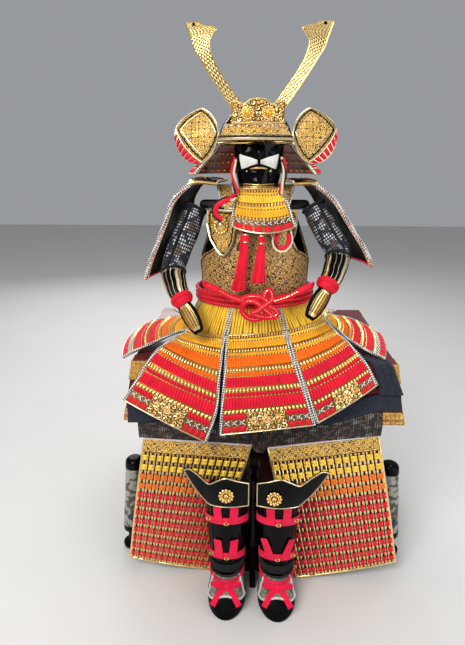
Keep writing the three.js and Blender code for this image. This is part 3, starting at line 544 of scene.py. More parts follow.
class Finishes:
    """Every finish of the suit, made once."""

    def __init__(self, sizes):
        self.sizes = sizes
        self.head_pitch = sizes.head_pitch / MM
        self.lace_pitch = sizes.lace_pitch / MM
        red = tuple(sizes.red)
        self.red = silk("red_silk_lacing", red)
        self.rose = silk("rose_silk_ribbon", tuple(sizes.rose), 0.5, 0.12)
        self.orange = silk("orange_silk_lacing", tuple(sizes.orange))
        self.amber = silk("amber_silk_lacing", tuple(sizes.amber))
        self.yellow = silk("yellow_silk_lacing", tuple(sizes.yellow))
        self.cord = silk("red_silk_cord", shade(red, 1.02), 0.45, 0.08)
        # The ground under the waist laces: a darker amber silk, painted shade for the gaps between the
        # strands.
        self.amber_ground_painted_gap_shade = silk("dark_amber_silk_ground_painted_gap_shade", (0.40, 0.19, 0.012))
        self.tassel = silk("glossy_tassel_silk", shade(red, 1.1), 0.4, 0.25)
        self.cream = silk("cream_silk", (0.75, 0.66, 0.45))
        self.black_silk = silk("black_silk", (0.015, 0.013, 0.013))
        self.braid = speckled_braid("speckled_edge_braid")
        self.braid_red = speckled_braid("speckled_red_edge_braid", red, 1.9)
        self.gold = gilt("gilt_scale_heads", tuple(sizes.gold), 0.28, 0.08)
        self.basket = basket("plaited_gilt", (0.95, 0.68, 0.28))
        self.gold_bright = gilt("bright_gilt_studs", (0.95, 0.66, 0.24), 0.2, 0.12)
        self.gold_dark = gilt("old_gilt_ground", (0.30, 0.15, 0.03), 0.45, 0.4)
        self.white_gold = gilt("pale_gilt_edging", (0.86, 0.72, 0.45), 0.32, 0.3)
        self.black = lacquer("black_lacquer_gloss", (0.0012, 0.0012, 0.0015), 0.1, 0.12, 0.05)
        self.black_dull = lacquer("black_lacquer_satin", (0.002, 0.002, 0.0025), 0.45, 0.0, 0.04)
        self.maroon = lacquer("maroon_lacquer_gloss", tuple(sizes.chest_lacquer), 0.2, 0.2)
        # A darker copy of the chest's maroon: on the chest body it is painted shade for the body under the
        # lid; on the thigh guards it is the cloth's own dark red.
        self.maroon_dark_and_painted_shade = lacquer("dark_maroon_lacquer_and_painted_shade", (0.016, 0.003, 0.004), 0.25, 0.15)
        self.wood = lacquer("stand_lacquered_wood", (0.012, 0.010, 0.009), 0.3, 0.2)
        self.leather = printed_leather("printed_gilt_leather", tuple(sizes.leather))
        self.leather_light = printed_leather("light_printed_gilt_leather", (0.90, 0.52, 0.11),
                                             size=7.4, cover=0.3)
        self.apron = woven("dark_apron_brocade", (0.006, 0.006, 0.007), (0.17, 0.075, 0.045),
                           (0.26, 0.27, 0.25), 5.0, 0.0, 2.4, 0.50, 0.45)
        self.sleeve = woven("blue_silver_sleeve_brocade", (0.010, 0.016, 0.045), (0.58, 0.60, 0.60),
                            (0.20, 0.12, 0.07), 6.5, 0.1, 2.5, 0.58, 0.50)
        self.roll = woven("silver_roll_brocade", (0.17, 0.15, 0.12), (0.72, 0.70, 0.60),
                          (0.035, 0.06, 0.16), 7.0, 0.3, 0.8, 0.6, 0.2)
        self.shoe = woven("pale_gold_shoe_brocade", (0.30, 0.29, 0.21), (0.66, 0.60, 0.40),
                          (0.10, 0.14, 0.12), 4.0, 0.3, 0.6, 0.5, 0.2)
        self.binding = plain_cloth("black_binding", (0.005, 0.005, 0.006))
        self.navy = plain_cloth("navy_cotton_tape", (0.019, 0.023, 0.037))
        self.piping = plain_cloth("white_piping", (0.72, 0.71, 0.68), 0.6)
        self.lining = plain_cloth("beige_lining", (0.50, 0.40, 0.30))
        self.horsehair = silk("white_moustache", (0.85, 0.85, 0.83), 0.4)
        self.under = lacquer("brown_red_lacquer", (0.12, 0.015, 0.006), 0.3, 0.1)
        # A lighter copy of the brown-red lacquer: painted light on the inside of the neck guard, which lies
        # in shade.
        self.neck_inner_painted_light = lacquer("neck_guard_inner_lacquer_painted_light", (0.30, 0.035, 0.012), 0.3, 0.1)
        self.orange_gilt = gilt("orange_gilt_hearts", (1.0, 0.52, 0.07), 0.3, 0.1)
        self.engraved = printed_leather("engraved_gilt_plate", (0.85, 0.50, 0.10), (0.20, 0.09, 0.02),
                                        4.5, 0.9, False)
        self.jewel = lacquer("red_glass", (0.45, 0.0, 0.01), 0.08, 0.8)


# Trim that the pieces share

def edge_line(surface, start, end, lift=0.0, count=24):
    """Points on the surface from (u, v) to (u, v), lifted off it."""
    t = np.linspace(0, 1, count + 1)
    u, v = mix(start[0], end[0], t), mix(start[1], end[1], t)
    return surface.out(u, v, lift)


def outline(shape, surface, us, vs, lift, count, *looks):
    """A wire round the rectangle between two values of u and two of v."""
    corners = [(us[0], vs[0]), (us[1], vs[0]), (us[1], vs[1]), (us[0], vs[1]), (us[0], vs[0])]
    for start, end in zip(corners, corners[1:]):
        shape.tube(edge_line(surface, start, end, lift, count), *looks)


def braid(shape, path, radius, slot, pitch=2.0):
    """A plaited edge: a tube with a bump for each crossing."""
    path = np.asarray(path, float)
    walked = walk(path)
    count = max(4, int(walked[-1] / pitch * 4))
    at = np.linspace(0, walked[-1], count)
    fine = np.stack([np.interp(at, walked, path[:, i]) for i in range(3)], -1)
    shape.tube(fine, radius * (1 + 0.16 * np.cos(TAU * at / pitch)), slot, 8)


def bead_row(shape, surface, u0, u1, v0, v1, count, radius, slot, lift=0.0, flat=0.8):
    t = (np.arange(count) + 0.5) / count
    u, v = mix(u0, u1, t), mix(v0, v1, t)
    height = np.full(count, lift)
    shape.beads(surface.out(u, v, height), surface.normal(u, v), radius, slot, flat=flat)


def rosette(shape, centre, normal, up, radius, slot, petals=12, height=1.4, ground=None):
    """A round flower: two rings of petals round a domed heart."""
    centre, normal = np.asarray(centre, float), unit(np.asarray(normal, float))
    x = unit(np.cross(up, normal))
    y = np.cross(normal, x)
    for ring, (reach, size, lift) in enumerate(((0.80, 0.19, 0.1), (0.54, 0.13, 0.25))):
        turn = TAU * (np.arange(petals) + 0.5 * ring) / petals
        places = centre + radius * reach * (np.cos(turn)[:, None] * x + np.sin(turn)[:, None] * y)
        shape.beads(places + normal * height * lift, np.tile(normal, (petals, 1)), radius * size, slot, 7, 3)
    shape.beads([centre + normal * height * 0.4], [normal], radius * 0.3, slot, 10, 3)
    ground = slot if ground is None else ground
    shape.beads([centre - normal * 0.3], [normal], radius * 0.9, ground, 20, 2, 0.12)


def curls(shape, surface, u0, u1, v0, v1, across, along, slot, lift=0.6, thick=0.45):
    """Openwork scrolls: a small spiral wire in each cell, turned the other way in the next."""
    width, length = surface.size()
    for i in range(across):
        for j in range(along):
            cu = mix(u0, u1, (i + 0.5) / across)
            cv = mix(v0, v1, (j + 0.5) / along)
            reach = 0.62 * min((u1 - u0) * width / across, (v1 - v0) * length / along)
            turn = (1 if (i + j) % 2 else -1) * np.linspace(0.3, 7.2, 11) + i * 1.3 + j * 0.8
            r = reach * np.linspace(1.0, 0.18, 11)
            u = cu + r * np.cos(turn) / width
            v = cv + r * np.sin(turn) / length
            wire = surface.out(u, v, lift + 0.5 * np.sin(np.linspace(0, math.pi, 11)))
            shape.tube(wire, thick, slot, 5, caps=False)
            shape.stud(surface, cu, cv, lift + 0.2, reach * 0.24, slot)


# The lamellar dressing: every lame has gilt scale heads, a twisted rope, a dotted line and laces

GOLD, BRAID, EDGE, JEWEL, GROUND = 0, 6, 7, 8, 9
LACING = {"yellow": 1, "amber": 2, "orange": 3, "red": 4}


def lacing_finishes(f):
    return [f.gold, f.yellow, f.amber, f.orange, f.red, f.black_dull, f.braid, f.white_gold, f.jewel,
            f.gold_dark]


def cells(start, end, count):
    """Where each of the equal cells between start and end begins, and how wide one is."""
    return mix(start, end, np.arange(count) / count), (end - start) / count


def lame(shape, surface, u0, u1, v0, v1, rope, laces, width, f, tall=1.0):
    heads = max(6, round(width * (u1 - u0) / f.head_pitch))
    at, step = cells(u0, u1, heads)
    deep = v1 - v0
    shape.arches(surface, at + 0.12 * step, at + 0.88 * step, v0, v0 + 0.24 * deep, 2.2 * tall, GOLD,
                 0.2, 4, 3)
    shape.arches(surface, at, at + step, v0 + 0.24 * deep, v0 + 0.41 * deep, 1.8, LACING[rope],
                 0.1, 4, 3, 0.8)
    dots = v0 + 0.45 * deep
    bead_row(shape, surface, u0, u1, dots, dots, heads, 0.85, GOLD, 0.6)
    if laces:
        strands = max(8, round(width * (u1 - u0) / f.lace_pitch))
        at, step = cells(u0, u1, strands)
        lean = 0.35 * np.sin(np.arange(strands) * 1.7)
        height = (1.25 + 0.2 * np.sin(np.arange(strands) * 2.3)).reshape(-1, 1, 1)
        shape.arches(surface, at + 0.01 * step, at + 0.99 * step, v0 + 0.48 * deep, v0 + 1.0 * deep,
                     height, LACING[laces], 0.15, 4, 4, lean.mean())


def squares(shape, surface, u0, u1, v0, v1, count, slot):
    at, step = cells(u0, u1, count)
    shape.arches(surface, at + 0.1 * step, at + 0.9 * step, v0, v1, 1.5, slot, 0.2, 5, 5, 0.0, 0.35)


def crosses(shape, surface, u0, u1, v0, v1, count, slot, radius=0.62):
    step = (u1 - u0) / count
    for i in range(count):
        left, right = u0 + step * (i + 0.12), u0 + step * (i + 0.88)
        for top, low in ((v0, v1), (v1, v0)):
            shape.tube(edge_line(surface, (left, top), (right, low), 0.75, 4), radius, slot, 6)


def hem_plate(shape, surface, u0, u1, v0, v1, width, f, ornament=True):
    """The last lame: rope, crosses and squares at the sides and an openwork flower plate between them."""
    deep = v1 - v0
    heads = round(width * (u1 - u0) / f.head_pitch)
    at, step = cells(u0, u1, heads)
    shape.arches(surface, at + 0.12 * step, at + 0.88 * step, v0, v0 + 0.18 * deep, 1.9, GOLD, 0.2)
    spans = ((u0, mix(u0, u1, 0.27)), (mix(u0, u1, 0.73), u1)) if ornament else ((u0, u1),)
    for a, b in spans:
        reach = (b - a) * width
        row = (0.45, 0.66, 0.69, 0.95) if ornament else (0.24, 0.50, 0.56, 0.95)
        if ornament:
            twists = max(3, int(reach / 2.6))
            at, step = cells(a, b, twists)
            shape.arches(surface, at, at + step, v0 + 0.19 * deep, v0 + 0.40 * deep, 1.8,
                         LACING["red"], 0.1, 4, 3, 0.7)
        crosses(shape, surface, a, b, v0 + row[0] * deep, v0 + row[1] * deep, max(2, int(reach / 5.5)), BRAID)
        across = max(3, int(reach / (4.6 if ornament else 8.3)))
        squares(shape, surface, a, b, v0 + row[2] * deep, v0 + row[3] * deep, across, LACING["red"])
    if ornament:
        a, b = mix(u0, u1, 0.28), mix(u0, u1, 0.72)
        low, high = v0 + 0.12 * deep, v0 + 0.95 * deep
        across = max(5, int((b - a) * width / 4.2))
        shape.arches(surface, a, b, low, high, 0.5, GROUND, 0.2, 8, 8, 0.0, 0.2)
        curls(shape, surface, a, b, low, high, across, 4, GOLD, 1.3, 0.6)
        for u, v in ((0.08, 0.3), (0.34, 0.25), (0.36, 0.85), (0.64, 0.8), (0.66, 0.2), (0.93, 0.7)):
            shape.stud(surface, mix(a, b, u), mix(low, high, v), 1.9, 0.75, JEWEL)
        for u, radius in ((0.18, 3.2), (0.5, 4.2), (0.82, 3.2)):
            centre, normal = surface.spot(mix(a, b, u), v0 + 0.5 * deep, 1.1)
            rosette(shape, centre, normal, UP, radius, GOLD, 8, 2.0)
            shape.beads([centre + normal * 1.2], [normal], 1.15, JEWEL)


def laced_panel(name, surface, lames, ropes, laces, f, ornament=True, hem=True,
                cap=0, rests_on=(), sheet=True, back=None, cols=18):
    """A hanging panel: a thin wall of lames, and its lacing as a piece of its own on it."""
    width, length = surface.size()
    wall = Shape()
    wall.shell(surface, steps(cols), steps(4 * lames), CLOTH - 0.2, 0.0, 0, back=1)
    base = wall.make(f"{name}_lames", [f.gold_dark, back or f.black_dull], (name,), weld=True)
    trim = Shape()
    edge = 1.9 / width
    for k in range(cap, lames):
        v0, v1 = k / lames, (k + 1) / lames
        if hem and k == lames - 1:
            hem_plate(trim, surface, edge, 1 - edge, v0 + 0.01, v1, width, f, ornament)
        else:
            tall = 1.7 if k == cap else 1.0
            lame(trim, surface, edge, 1 - edge, v0 + 0.012, v1, ropes[k - cap], laces[k - cap], width, f,
                 tall)
    top = cap / lames
    for u in (0.2 * edge, 1 - 0.2 * edge):
        braid(trim, edge_line(surface, (u, top), (u, 1), 0.3, 40), 1.35, BRAID)
    trim.tube(edge_line(surface, (0, 1), (1, 1), 0.1, 30), 0.8, EDGE, 6)
    trim.tube(edge_line(surface, (0, top), (1, top), 0.1, 30), 0.6, EDGE, 6)
    lace = trim.make(f"{name}_lacing", lacing_finishes(f))
    if sheet:
        declare_sheet(base, width, length, "hung", rests_on, [lace])


def declare_sheet(piece, width, length, held, rests_on, with_pieces=()):
    """Width and length in mm. The cut's area is half the closed wall's surface, up to the whole rectangle."""
    flat = (width * MM, length * MM)
    area = sum(face.area for face in piece.data.polygons) / 2
    min(area, flat[0] * flat[1])


# Stage: floor, soft studio light and the photograph's camera

def area_light(name, place, target, size, power, colour):
    data = bpy.data.lights.new(name, "AREA")
    data.shape = "SQUARE"
    data.size = size
    data.energy = power
    data.color = colour
    light = bpy.data.objects.new(name, data)
    light.location = place
    direction = mathutils.Vector(target) - light.location
    light.rotation_euler = direction.to_track_quat("-Z", "Y").to_euler()
    bpy.context.scene.collection.objects.link(light)


# Each lamp: its name, its place in metres, its width, its power in watts and its colour
LAMPS = [
    ("key_light", (-0.55, -1.05, 1.15), 0.7, 19.0, (1.0, 0.97, 0.93)),
    ("fill_light", (0.95, -0.85, 0.55), 0.9, 6.0, (0.92, 0.96, 1.0)),
    ("top_light", (0.1, 0.25, 1.25), 0.8, 7.0, (1, 1, 1)),
    ("rear_light", (-0.35, 1.1, 0.8), 0.9, 6.0, (1, 1, 1)),
]


def make_stage(sizes):
    scene = bpy.context.scene
    scene.view_settings.view_transform = "Standard"
    scene.view_settings.exposure = sizes.exposure
    floor = bpy.data.meshes.new("floor")
    half = 3.0
    corners = [(-half, -half, 0), (half, -half, 0), (half, half, 0), (-half, half, 0)]
    floor.from_pydata(corners, [], [(0, 1, 2, 3)])
    floor.materials.append(wood_floor())
    ground = bpy.data.objects.new("floor", floor)
    scene.collection.objects.link(ground)
    world = bpy.data.worlds.new("studio")
    world.use_nodes = True
    world.node_tree.nodes["Background"].inputs["Color"].default_value = (0.86, 0.89, 0.94, 1)
    world.node_tree.nodes["Background"].inputs["Strength"].default_value = sizes.room_light
    scene.world = world
    middle = (0.0, -0.06, 0.28)
    for name, place, size, watts, colour in LAMPS:
        area_light(name, place, middle, size, watts * sizes.key_light, colour)
    view = bpy.data.cameras.new("photo_camera")
    focal_pixels, photo_height, sensor = 500.0, 645.0, 36.0
    view.sensor_width = sensor
    view.lens = sensor * focal_pixels / photo_height
    view.clip_start = 0.01
    camera = bpy.data.objects.new("photo_camera", view)
    camera.location = (-0.004, -0.561, 0.420)
    camera.rotation_euler = (math.radians(90 - 17.7), 0, math.radians(2.24))
    scene.collection.objects.link(camera)
    scene.camera = camera


# Armour chest

LID = {"x": 9.0, "topX": 132.0, "topY": 96.0, "rimX": 142.5, "rimY": 106.0, "rim": 168.0, "top": 230.0}


def lid_half(axis, z):
    flare = (LID["top"] - z) / (LID["top"] - LID["rim"])
    return mix(LID[f"top{axis}"], LID[f"rim{axis}"], flare)


def refinish(node, material, bevel=0.0):
    piece = NODES[node]
    for slot in piece.material_slots:
        slot.material = material
    if bevel:
        soft = piece.modifiers.new("worn_edges", "BEVEL")
        soft.width = bevel * MM
        soft.segments = 2
        soft.limit_method = "ANGLE"


def corner_fitting(shape, sx, sy, low, high, arm, gap, thick, slot=0):
    """An engraved gilt L round one corner of the lid."""
    def at(u, v):
        z = mix(high, low, v)
        far = gap + thick
        x = lid_half("X", z) + far
        y = lid_half("Y", z) + far
        along = 2 * u - 1
        px = np.where(along < 0, x + along * arm, x)
        py = np.where(along > 0, y - along * arm, y)
        return points3(LID["x"] + sx * px, sy * py, z)

    surface = Surface(at, (LID["x"], 0, (low + high) / 2))
    half = np.linspace(0, 0.5, 5)
    us = np.concatenate([half[:-1], [0.499, 0.501], half[1:] + 0.5])
    shape.shell(surface, us, steps(2), thick, 0.0, slot)


def make_chest(f):
    refinish("chest_lid", f.maroon, 0.9)
    # The body takes the darker maroon, painted shade on the chest's shaded front.
    refinish("chest_body", f.maroon_dark_and_painted_shade, 0.6)
    corners = {"front_left": (-1, -1), "front_right": (1, -1), "rear_left": (-1, 1), "rear_right": (1, 1)}
    for name, (sx, sy) in corners.items():
        refinish(f"lid_corner_{name}", f.engraved)
        low = Shape()
        corner_fitting(low, sx, sy, LID["rim"] + 0.4, 181, 24, 0.05, 0.45)
        low.make(f"lid_rim_corner_{name}", [f.engraved], weld=True)


def make_stands(f):
    refinish("stand", f.wood, 0.4)
    refinish("leg_stand", f.black, 0.4)


# Helmet: ribbed and studded bowl, visor, crest, ears and neck guard

def make_helmet(f):
    radius, base, rise, plates, crown = 36.0, 437.0, 38.0, 18, 2.2

    def bowl_at(u, v):
        theta = v * math.acos(crown / radius)
        r = radius * np.cos(theta)
        return around(HEAD, r, r, TAU * u, base + rise * np.sin(theta))

    bowl = Surface(bowl_at, (HEAD[0], HEAD[1], base))
    shape = Shape()

    def ribs(u, v):
        return 1.1 * np.maximum(0, np.cos(TAU * plates * u)) ** 6 * (1 - v)

    shape.shell(bowl, steps(plates * 8), steps(16), 1.8, ribs, 0, ring=True)
    for k in range(plates):
        u = (k + 0.5) / plates
        bead_row(shape, bowl, u, u, 0.12, 0.86, 7, 0.95, 1, 0.1)
    shape.tube(bowl.out(steps(60), np.full(61, 0.985), np.full(61, 0.9)), 1.6, 1, 8, caps=False)
    shape.tube(bowl.out(steps(90), np.full(91, 0.02), np.full(91, 0.5)), 1.3, 1, 8, caps=False)
    shape.make("helmet_bowl_plates", [f.black, f.gold_bright], ("helmet_bowl",))

    profile = table("v r z", [[0, 34, 455], [0.3, 41, 454.3], [1, 52, 440.6]])
    spread = math.radians(42)

    def visor_at(u, v):
        r = look_up(profile, "v", v, "r")
        return around(HEAD, r, r, mix(-spread, spread, u), look_up(profile, "v", v, "z"))

    visor = Surface(visor_at, (HEAD[0], HEAD[1], 430))
    brim = Shape()
    brim.shell(visor, steps(24), [0, 0.1, 0.2, 0.28, 0.34, 0.5, 0.65, 0.8, 0.9, 1], 1.8, 0.0, 0, back=3)
    for v, r, slot in ((0.99, 1.3, 1), (0.90, 0.75, 2), (0.82, 0.55, 1)):
        brim.tube(edge_line(visor, (0, v), (1, v), 0.3, 30), r, slot, 6)
    bead_row(brim, visor, 0.06, 0.94, 0.42, 0.42, 7, 1.5, 1, 0.1)
    brim.make("helmet_visor_leather", [f.leather_light, f.white_gold, f.black_dull, f.under],
              ("helmet_visor",), weld=True)

    for name, side in (("left", -1), ("right", 1)):
        make_ear(name, side, f)

    top, low = (38.4, 437.5), (66.0, 410.0)
    start, end = math.radians(60), math.radians(300)

    def neck_at(u, v):
        r = mix(top[0], low[0], v)
        return around(HEAD, r, r, mix(start, end, u), mix(top[1], low[1], v))

    neck = Surface(neck_at, (HEAD[0], HEAD[1], 400))
    # The inside of the neck guard takes the lighter brown-red lacquer, painted light on a face in shade.
    laced_panel("neck_guard", neck, 3, ["red", "red", "red"], ["orange", "red", "red"], f, hem=False,
                sheet=False, back=f.neck_inner_painted_light, cols=48)
    studs = Shape()
    inner = Surface(neck_at, (HEAD[0], HEAD[1], 900))
    for v in (0.25, 0.55, 0.85):
        bead_row(studs, inner, 0.03, 0.97, v, v, 30, 1.5, 0, 2.1)
    studs.make("neck_guard_inner_studs", [f.gold_bright])


EAR_REACH = 1.17


def make_ear(name, side, f):
    fold_top, free_top = np.array([33.5, -64, 447]), np.array([50.5, -49, 470])
    fold_low, free_low = np.array([50.5, -62.8, 418.0]), np.array([77.5, -55, 450])

    def ear_at(u, v):
        u, v = np.asarray(u, float)[..., None], np.asarray(v, float)[..., None]
        across, along = 2 * u - 1, 2 * EAR_REACH * v - 1
        u = 0.5 + 0.60 * across * np.sqrt(1 - 0.36 * along ** 2)
        v = 0.5 + 0.58 * along * np.sqrt(1 - 0.36 * across ** 2)
        point = mix(mix(fold_top, free_top, u), mix(fold_low, free_low, u), v)
        bulge = 7 * np.sin(math.pi * (0.15 + 0.85 * u)) * np.sin(math.pi * (0.1 + 0.8 * v))
        point = point + np.array([-0.2, -0.8, 0.4]) * bulge
        return point * np.array([side, 1, 1]) + np.array([HEAD[0], 0, 0])

    ear = Surface(ear_at, (HEAD[0], 0, 440))
    shape = Shape()
    shape.shell(ear, steps(14), steps(14) / EAR_REACH, 1.5, 0.0, 0, back=4)
    for inset, radius, slot in ((0.015, 1.0, 1), (0.085, 0.6, 2), (0.15, 0.5, 1)):
        span = np.array([inset, 1 - inset])
        outline(shape, ear, span, span / EAR_REACH, 0.3, 12, radius, slot, 6)
    shape.shell(ear, steps(14), np.linspace(0.83, 1.0, 4), 1.4, 0.0, 1, back=4)
    squares(shape, ear, 0.02, 0.98, 0.86, 0.985, 7, 3)
    shape.make(f"helmet_ear_leather_{name}", [f.leather_light, f.white_gold, f.black_dull, f.red, f.under],
               (f"helmet_ear_{name}",), weld=True)


def make_crest(f):
    tops = table("x z", [[0, 475.5], [7, 474.5], [12, 470.5], [18, 472.5], [24, 473]])
    low, half = 454.6, 24.0

    def base_at(u, v):
        x = mix(-half, half, u)
        return points3(x, -75.5 + x * x / 200, mix(low, look_up(tops, "x", np.abs(x), "z"), v))

    surface = Surface(base_at, (0, HEAD[1], 460))
    shape = Shape()
    shape.shell(surface, steps(32), steps(6), 1.8, 0.0, 1)
    curls(shape, surface, 0.03, 0.97, 0.06, 0.94, 11, 4, 0, 0.7, 0.5)
    for v in (0.02, 0.98):
        shape.tube(edge_line(surface, (0, v), (1, v), 0.3, 32), 0.8, 0, 6)
    for u in (0.31, 0.69):
        rosette(shape, *surface.spot(u, 0.45, 1.2), UP, 6.4, 2, 12, 2.0)
        shape.stud(surface, u, 0.45, 2.4, 3.0, 3, 12, 4, 0.6)
    shape.make("crest_base_openwork", [f.gold, f.gold_dark, f.gold_bright, f.orange_gilt],
               ("crest_base",), weld=True)

    inner = smooth([[14, 0, 460], [15.2, 0, 470.5], [24.4, 0, 483.2], [36.6, 0, 500.8], [42.2, 0, 513],
                    [43.4, 0, 521.4], [40.0, 0, 527.8], [37.0, 0, 531.2], [41.5, 0, 533.2],
                    [47.5, 0, 533.6], [52.5, 0, 536.2]])
    outer = smooth([[20.5, 0, 460], [24, 0, 466.9], [31.4, 0, 477], [42.6, 0, 492.8], [52.4, 0, 508.2],
                    [57, 0, 515], [60, 0, 523.3], [61.4, 0, 527], [62.4, 0, 530.4], [63.4, 0, 533.4],
                    [64, 0, 535.8]])
    for name, side in (("left", -1), ("right", 1)):
        def horn_at(u, v, side=side):
            point = mix(inner(v), outer(v), np.asarray(u, float)[..., None])
            return point * np.array([side, 1, 1]) + np.array([0, -70.3, 0])

        blade = Surface(horn_at, (0, 0, 500))
        horn = Shape()
        horn.shell(blade, steps(6), steps(40), 1.2, 0.0, 0)
        for u in (0.02, 0.98):
            horn.tube(edge_line(blade, (u, 0), (u, 1), -0.3, 40), 0.6, 1, 6)
        horn.tube(edge_line(blade, (0, 1), (1, 1), -0.3, 10), 0.6, 1, 6)
        horn.stud(blade, 0.5, 0.955, 0.15, 1.5, 2, 10, 2, 0.15)
        horn.make(f"crest_horn_blade_{name}", [f.basket, f.gold_bright, f.black_dull],
                  (f"crest_horn_{name}",), weld=True)


# Face mask with its moustache, and the laced throat guard

def make_mask(f):
    centre, a, b, top, low = (1.5, -50.0), 24.0, 22.0, 436.5, 397.0
    spread = math.radians(85)

    def mask_at(u, v):
        taper = 1 - 0.22 * np.asarray(v) ** 2
        phi = mix(-spread, spread, u)
        return around(centre, a * taper, b * taper, phi, mix(top, low, v))

    def hill(u, v, cu, cv, wu, wv, high):
        return high * np.exp(-((u - cu) / wu) ** 2) * np.exp(-((v - cv) / wv) ** 2)

    def face(u, v):
        high = hill(u, v, 0.5, 0.20, 0.06, 0.18, 6) + hill(u, v, 0.5, 0.88, 0.16, 0.12, 3)
        high = high + hill(u, v, 0.5, 0.30, 0.075, 0.07, 1.6)
        for side in (-1, 1):
            high = high + hill(u, v, 0.5 + side * 0.2, 0.22, 0.10, 0.13, 2.2)
            high = high - hill(u, v, 0.5 + side * 0.17, 0.60, 0.05, 0.2, 0.9)
        return high - hill(u, v, 0.5, 0.585, 0.12, 0.03, 1.6)

    skin = Surface(mask_at, (1.5, -50, 415))
    shape = Shape()
    shape.shell(skin, steps(72), steps(54), 1.8, face, 0)
    edge = np.linspace(0.02, 0.98, 40)
    shape.tube(skin.out(edge, np.full(40, 0.99), face(edge, 0.99) + 0.2), 0.9, 1, 6)
    for row in (0.90, 0.955):
        shape.tube(skin.out(np.linspace(0.22, 0.78, 30), np.full(30, row),
                            face(np.linspace(0.22, 0.78, 30), row) + 0.3), 0.7, 1, 6)
    lip_u = np.linspace(0.38, 0.62, 20)
    lip_v = 0.525 + 0.03 * ((lip_u - 0.5) / 0.12) ** 2
    shape.tube(skin.out(lip_u, lip_v, face(lip_u, lip_v) + 0.4),
               0.4 + 0.75 * np.sin(np.linspace(0.05, 0.95, 20) * math.pi), 1, 8)
    for side in (-1, 1):
        u, v = 0.5 + side * 0.19, 0.61
        shape.stud(skin, u, v, face(u, v) + 0.1, 1.0, 1)
        for k in range(46):
            t = k / 45
            u = 0.5 + side * np.linspace(0.02, 0.255 + 0.02 * math.sin(k * 2.1), 8)
            fan = mix(-0.165, 0.165, t)
            v = 0.385 + fan * np.linspace(0.2, 1.0, 8)
            hair = skin.out(u, v, face(u, v) + 0.5 + 0.7 * math.sin(math.pi * t))
            shape.tube(hair, np.linspace(0.55, 0.34, 8), 2, 5)
    shape.make("mask_face", [f.black, f.gold, f.horsehair], ("mask",), weld=False)

    def throat_at(u, v):
        across = 2 * np.asarray(u) - 1
        x = mix(mix(-20, -23.5, v), mix(24, 37, v), u)
        y = mix(-69.6, -95, v) + mix(6, 12, v) * across ** 2
        return points3(x, y, mix(396.5, 358 + 5 * across ** 2, v))

    throat = Surface(throat_at, (0, 0, 380))
    laced_panel("throat_guard", throat, 3, ["yellow", "yellow", "red"], ["yellow", "amber", None], f,
                ornament=False, sheet=False)
    make_chin_cords(f)


def make_chin_cords(f):
    shape = Shape()
    cords = {
        "left": [(-20, -67, 424), (-23, -72.5, 412), (-21, -74, 402), (-19.5, -74.6, 393)],
        "loop_left": [(-20, -76, 390), (-24, -80, 388), (-31, -83, 387), (-38.5, -83.5, 382),
                      (-39.5, -83.5, 374), (-34, -84, 368.5)],
        "right": [(23.5, -67, 424), (26, -72.5, 412), (24, -74, 402), (22, -75, 393)],
        "bib_left": [(-12, -85.5, 357), (-14, -86, 349), (-17, -85.8, 341)],
        "loop_right": [(19, -86, 357), (17, -88, 350), (20, -88.5, 343), (27, -88, 342), (32, -86.5, 349),
                      (31, -85, 358)],
    }
    for name, points in cords.items():
        line = smooth(points)(steps(40))
        fat = name.startswith("loop")
        for k, slot in enumerate((0, 1, 2)):
            turn = np.linspace(0, 2.0 + 0.4 * len(points), 41) + k * 2.1 + (2.6 if points[0][0] < 0 else 0.0)
            offset = (1.5 if fat else 1.25) * np.stack([np.cos(turn), np.sin(turn) * 0.6, np.sin(turn)], -1)
            shape.tube(line + offset, 2.4 if fat and slot == 0 else 1.15, slot, 7)
    shape.make("chin_cords", [f.cord, f.cream, f.black_silk])


# Cuirass with its chest plates and shoulder straps

CUIRASS = table("z a b front back", [
    [282, 54, 44, 88, 88], [300, 56, 45.5, 88, 88], [322, 57, 46, 86, 86], [337, 57, 45, 47, 70],
    [350, 57, 44, 38, 60], [366, 56, 42, 34, 52], [384, 55, 39, 32, 42]])


def cuirass_at(phi, z, out=0.0):
    a = look_up(CUIRASS, "z", z, "a") + out
    b = look_up(CUIRASS, "z", z, "b") + out
    return around(BODY, a, b, phi, z)


